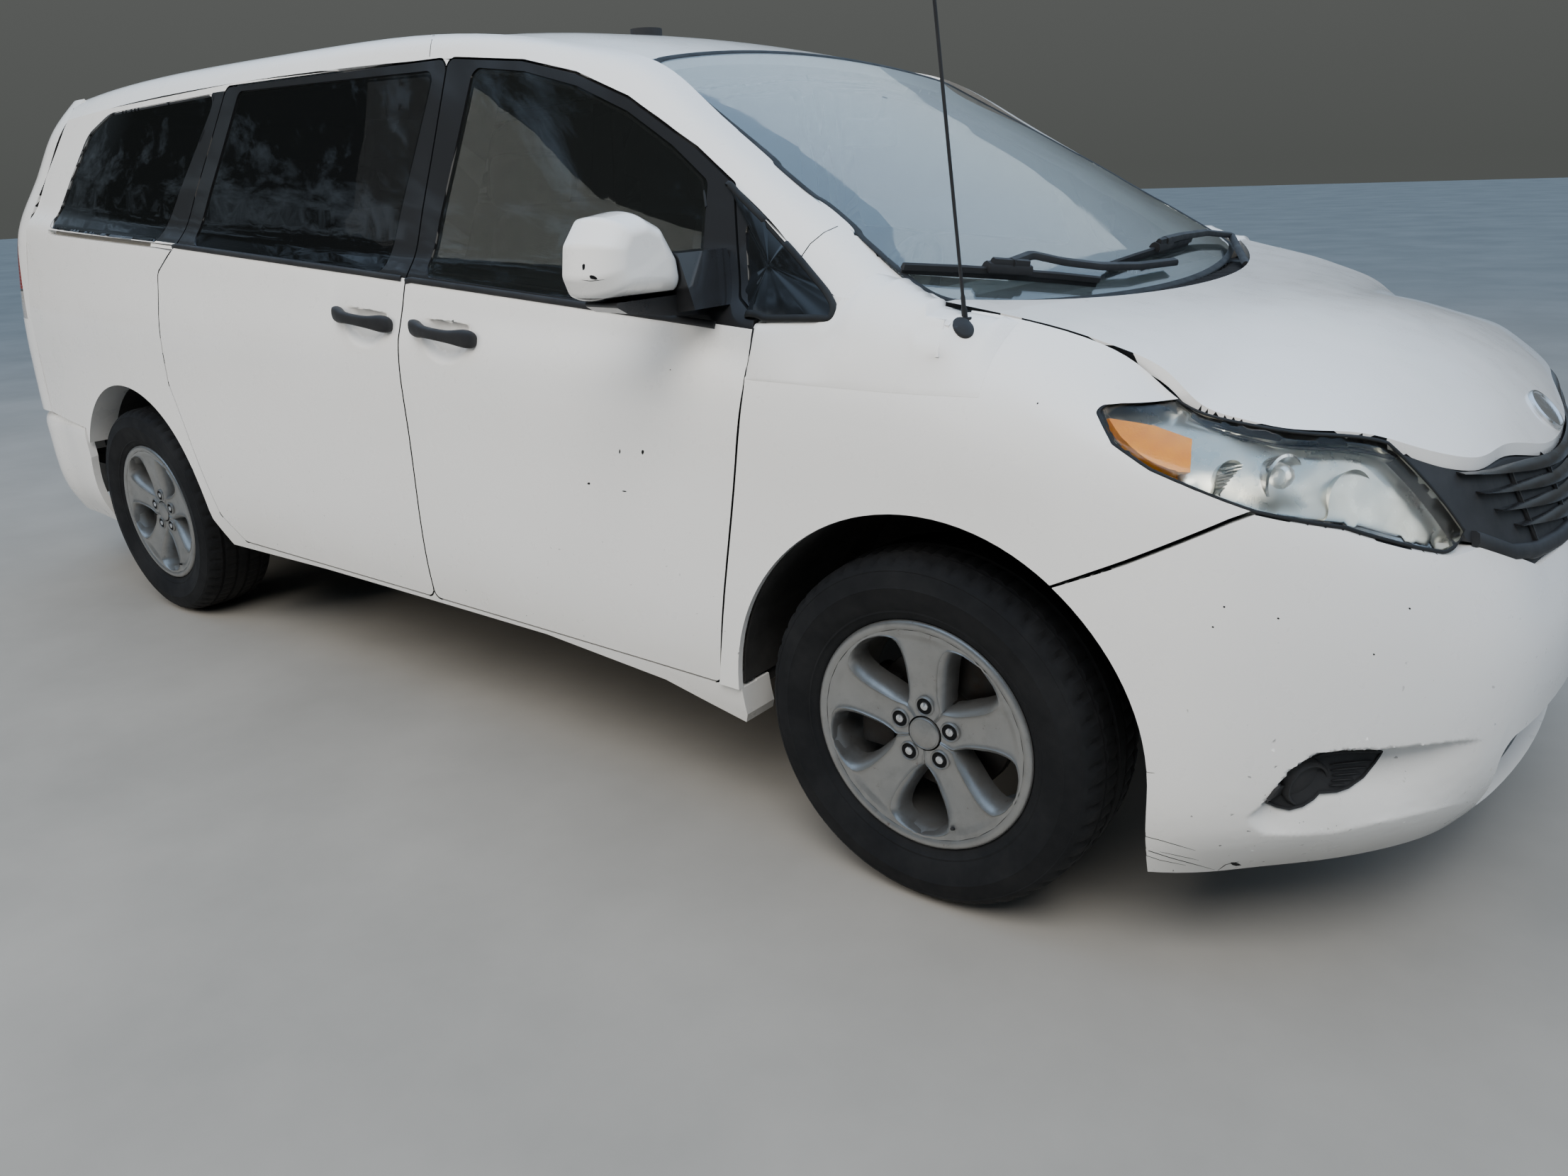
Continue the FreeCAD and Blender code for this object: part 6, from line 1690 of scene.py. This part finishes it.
# Black rubber strip round the windscreen
SCREEN_OUT = V((0.5, 0, 0.87))
screen_skin = skin_of("windshield", lambda face: face.normal.dot(SCREEN_OUT) > 0.5)
spots, _ = rim_of(screen_skin)
screen_skin.free()
middle = sum(spots, V()) / len(spots)
smooth_spots = even(spots, 0.03, True)
for _ in range(8):
    smooth_spots = [(smooth_spots[i - 1] + p * 2 + smooth_spots[(i + 1) % len(smooth_spots)]) / 4
                    for i, p in enumerate(smooth_spots)]
bm = bmesh.new()
flat = []
for p in smooth_spots:
    p = p + (middle - p).normalized() * 0.006 + SCREEN_OUT * 0.0006
    place, _, _, _ = tree_of("windshield").ray_cast(p + SCREEN_OUT * 0.1, -SCREEN_OUT)
    flat.append((place if place is not None else p, SCREEN_OUT))
laid(bm, flat, 0.018, 0.0016, True)
piece("screen_strip", bm, "body", seal, 60)

# Antenna: oval foot, ferrule, spiral wire and tip
foot, foot_normal = pick(*crop26(415, 345), *OUTSIDE)
low, high = V((1.619, -0.872, 1.104)), V((1.541, -0.880, 1.745))
mast_way = (high - low).normalized()
lean = (mast_way - foot_normal * mast_way.dot(foot_normal)).normalized()
wide = lean.cross(foot_normal).normalized()
ANTENNA_FOOT = (0.0175, 0.0235)
ANTENNA_RISE = ((1.0, -0.003), (1.0, 0.0012), (0.94, 0.0030), (0.80, 0.0042), (0.55, 0.0066), (0.28, 0.0082),
                (0.0, 0.0086))
bm = bmesh.new()
rings = []
for share, rise in ANTENNA_RISE:
    ring = []
    for t in around(40):
        flat = (wide * (ANTENNA_FOOT[0] * share * math.cos(t))
                + lean * (ANTENNA_FOOT[1] * share * math.sin(t)))
        ring.append(bm.verts.new(foot + flat + foot_normal * (rise * (1.0 if math.sin(t) < 0.1 else 0.45))))
    rings.append(ring)
joined(bm, rings)
cleaned(bm)
piece("antenna_foot", bm, "body", trim_black, 50)
bm = bmesh.new()
tube(bm, [low - mast_way * 0.012, low + mast_way * 0.030], 0.0052, 16)
tube(bm, [low + mast_way * 0.028, low + mast_way * 0.050], 0.0040, 16)
tube(bm, [high - mast_way * 0.003, high + mast_way * 0.006], 0.0035, 12)
first_side = mast_way.orthogonal().normalized()
second_side = mast_way.cross(first_side)
TURNS = 24
TURN_STEPS = 12
wire = []
for k in range(TURNS * TURN_STEPS):
    t = 2 * math.pi * k / TURN_STEPS
    spot = low + mast_way * (0.050 + (0.585 * k) / (TURNS * TURN_STEPS))
    wire.append(spot + (first_side * math.cos(t) + second_side * math.sin(t)) * 0.0024)
tube(bm, wire, 0.0008, 6)
piece("antenna_spiral", bm, "body", trim_black, 50)


# Thin dark lines of painted shade in the seams: pillar, roof rail and the top of the door's shut line
def seam(name, points, names, width=0.0022):
    """A dark line of painted shade in a seam, on the right along picture points, and its mirror image."""
    bm = bmesh.new()
    laid(bm, [pick(*p, *names) for p in even(points, 6.0)], width, 0.0007)
    pair(name, bm, "body", shade_and_chip_black, crease=60)


seam("pillar_seam_shade", [crop24(*p) for p in ((834, 298), (790, 318), (745, 355), (712, 402))], OUTSIDE)
seam("roof_rail_seam_shade", ((612, 45), (608, 62), (606, 80)), ("side_frame_right", "roof_panel"))
seam("shut_line_shade", ((1063, 463), (1055, 512), (1050, 537)), OUTSIDE, 0.0034)

# Scrapes and chips through the paint, where the photograph has them
random.seed(7)


def chip(bm, u, v, long, tall, turn, names):
    """One small irregular bare spot under a picture point, sizes in picture pixels."""
    outline = []
    for k in range(9):
        t = 2 * math.pi * k / 9
        r = random.uniform(0.65, 1.0)
        a, b = long * r * math.cos(t), tall * r * math.sin(t)
        outline.append((u + a * math.cos(turn) - b * math.sin(turn),
                        v + a * math.sin(turn) + b * math.cos(turn)))
    patch(bm, outline, lambda x, y: pick(x, y, *names), 0.00025, 2)


def scrape(bm, points, width, names):
    """A thin scratch along picture points."""
    laid(bm, [pick(*p, *names) for p in even(points, 5.0)], width, 0.0003, taper=True)


BUMPER = ("front_bumper",)
bm = bmesh.new()
for points, width in (
        (((190, 600), (300, 628), (410, 660)), 0.0016), (((200, 640), (330, 682), (470, 720)), 0.0022),
        (((196, 655), (300, 690), (380, 706)), 0.0014), (((240, 415), (285, 420)), 0.0012),
        (((480, 722), (505, 704), (545, 695)), 0.0030), (((300, 664), (420, 690)), 0.0012)):
    scrape(bm, [crop7(*p) for p in points], width, BUMPER)
for u, v, long, tall in ((190, 520, 3.0, 6.0), (196, 608, 4.0, 5.0), (210, 662, 7.0, 3.0),
                         (535, 702, 9.0, 3.0), (610, 724, 5, 1.5)):
    chip(bm, *crop7(u, v), long, tall, 0.2, BUMPER)
for u, v in ((500, 740), (465, 803), (668, 776), (1076, 745), (965, 888)):
    chip(bm, *crop6(u, v), 2.0, 1.6, 0.5, BUMPER)
for u, v, long, tall in ((485, 635, 4.0, 2.2), (827, 750, 2.0, 1.5)):
    chip(bm, *crop14(u, v), long, tall, 2.4, ("front_fenders",))
piece("bare_spots_body", bm, "body", shade_and_chip_black, 180)
bm = bmesh.new()
for u, v, long, tall in ((200, 1032, 2.2, 3.8), (125, 1030, 1.2, 4.0), (140, 1160, 5.0, 1.2),
                         (24, 1135, 2.4, 2.0), (290, 765, 1.2, 1.2)):
    chip(bm, *crop24(u, v), long, tall, 0.1, ("front_door_right",))
chip(bm, *crop24(38, 465), 7.0, 3.2, 0.3, ("door_mirror_right",))
chip(bm, *crop24(8, 430), 2.5, 6.0, 0.0, ("door_mirror_right",))
scrape(bm, [crop24(*p) for p in ((0, 472), (30, 476), (75, 471))], 0.0014, ("door_mirror_right",))
piece("bare_spots_door", bm, "front_door_right_leaf", shade_and_chip_black, 180)

# Tail lamps: red above, clear below, with a dark parting line
tail_mat = material("tail_lens", (0.42, 0.012, 0.010), 0.10, 0.0, Transmission_Weight=0.35, Coat_Weight=0.8)
tail_net = Net(tail_mat)
TAIL_PART_Z = 1.075
height = tail_net.axis("Z")
share = tail_net.math("GREATER_THAN", height, TAIL_PART_Z)
apart = tail_net.math("ABSOLUTE", tail_net.math("SUBTRACT", height, TAIL_PART_Z))
line = tail_net.math("LESS_THAN", apart, 0.004)
flutes = tail_net.node("ShaderNodeTexWave")
flutes.inputs["Scale"].default_value = 26.0
flutes.bands_direction = "Z"
tail_net.join(tail_net.place, flutes.inputs["Vector"])
tone = tail_net.mix(share, (0.62, 0.60, 0.57), (0.40, 0.008, 0.007))
tail_net.color(tail_net.mix(line, tone, (0.02, 0.02, 0.02)))
tail_net.rough(tail_net.ramp(tail_net.noise(12.0), (0.3, 0.08), (0.8, 0.16)))
tail_net.bump(flutes.outputs["Fac"], 0.25, 0.0012)
dress("tail_lamps", tail_mat)


# Tailgate: bar over the plate recess, handle, stop lamp and rear wiper
def on_gate(y, z, lift=0.0):
    """Point and normal on the back of the vehicle at y and z."""
    place, normal, _, _ = tree_of("tailgate", "tailgate_glass").ray_cast(V((-4.0, y, z)), V((1, 0, 0)))
    if normal.x > 0:
        normal = -normal
    return place + normal * lift, normal


def gate_strip(name, points, width, height, mat, closed=False, **more):
    """A strip on the tailgate along points of y and z."""
    bm = bmesh.new()
    laid(bm, [on_gate(*p) for p in even(points, 0.02, closed)], width, height, closed, **more)
    return piece(name, bm, "tailgate_leaf", mat, 50)


gate_strip("gate_bar", ((-0.34, 1.052), (0.0, 1.058), (0.34, 1.052)), 0.060, 0.020, white, taper=True)
gate_strip("gate_handle", ((-0.13, 1.024), (0.13, 1.024)), 0.030, 0.014, trim_black)
PLATE_FRAME = filleted(((-0.27, 0.845), (0.27, 0.845), (0.27, 1.015), (-0.27, 1.015)), 0.03, 5)
GATE_WINDOW = filleted(((-0.612, 1.258), (0.612, 1.258), (0.540, 1.628), (-0.540, 1.628)), 0.035, 5)
gate_strip("plate_recess_lip", PLATE_FRAME, 0.012, 0.005, white, True)
gate_strip("gate_foot_strip", ((-0.66, 0.700), (0.66, 0.700)), 0.010, 0.003, seal)
gate_strip("rear_window_strip", GATE_WINDOW, 0.014, 0.0025, seal, True)
bm = bmesh.new()
laid(bm, [on_gate(-0.16 + 0.32 * k / 12, 1.662) for k in range(13)], 0.022, 0.004)
stop_red = material("stop_red", (0.30, 0.01, 0.01), 0.15, 0.0, Coat_Weight=0.6)
piece("stop_lamp", bm, "tailgate_leaf", stop_red, 50)
bm = bmesh.new()
REAR_ARM = ((0.0, 1.225), (-0.07, 1.262), (-0.20, 1.300), (-0.33, 1.318))
laid(bm, [on_gate(*p, 0.012) for p in REAR_ARM], 0.018, 0.010)
blade = [-0.50 + 0.34 * k / 8 for k in range(9)]
laid(bm, [on_gate(y, 1.318 + 0.02 * y, 0.004) for y in blade], 0.010, 0.012)
boss, boss_normal = on_gate(0.0, 1.225)
tube(bm, [boss - boss_normal * 0.002, boss + boss_normal * 0.026], 0.022, 20)
piece("rear_wiper", bm, "tailgate_leaf", trim_black, 50)


# Rear bumper: red reflectors, and a dark line of painted shade along its step
def on_tail(y, z):
    """Point and normal on the back of the rear bumper at y and z."""
    place, normal, _, _ = tree_of("rear_bumper").ray_cast(V((-4.0, y, z)), V((1, 0, 0)))
    return place, normal if normal.x < 0 else -normal


reflector_red = material("reflector_red", (0.34, 0.012, 0.010), 0.22, 0.0, Coat_Weight=0.5)
bm = bmesh.new()
laid(bm, [on_tail(-0.62 - 0.15 * k / 8, 0.420) for k in range(9)], 0.036, 0.004)
pair("bumper_reflector", bm, "body", reflector_red, crease=50)
# A thin near-black strip of painted shade along the bumper's step
bm = bmesh.new()
laid(bm, [on_tail(-0.80 + 1.60 * k / 60, 0.335) for k in range(61)], 0.007, 0.0010)
piece("bumper_step_shade", bm, "body", shade_and_chip_black, 50)
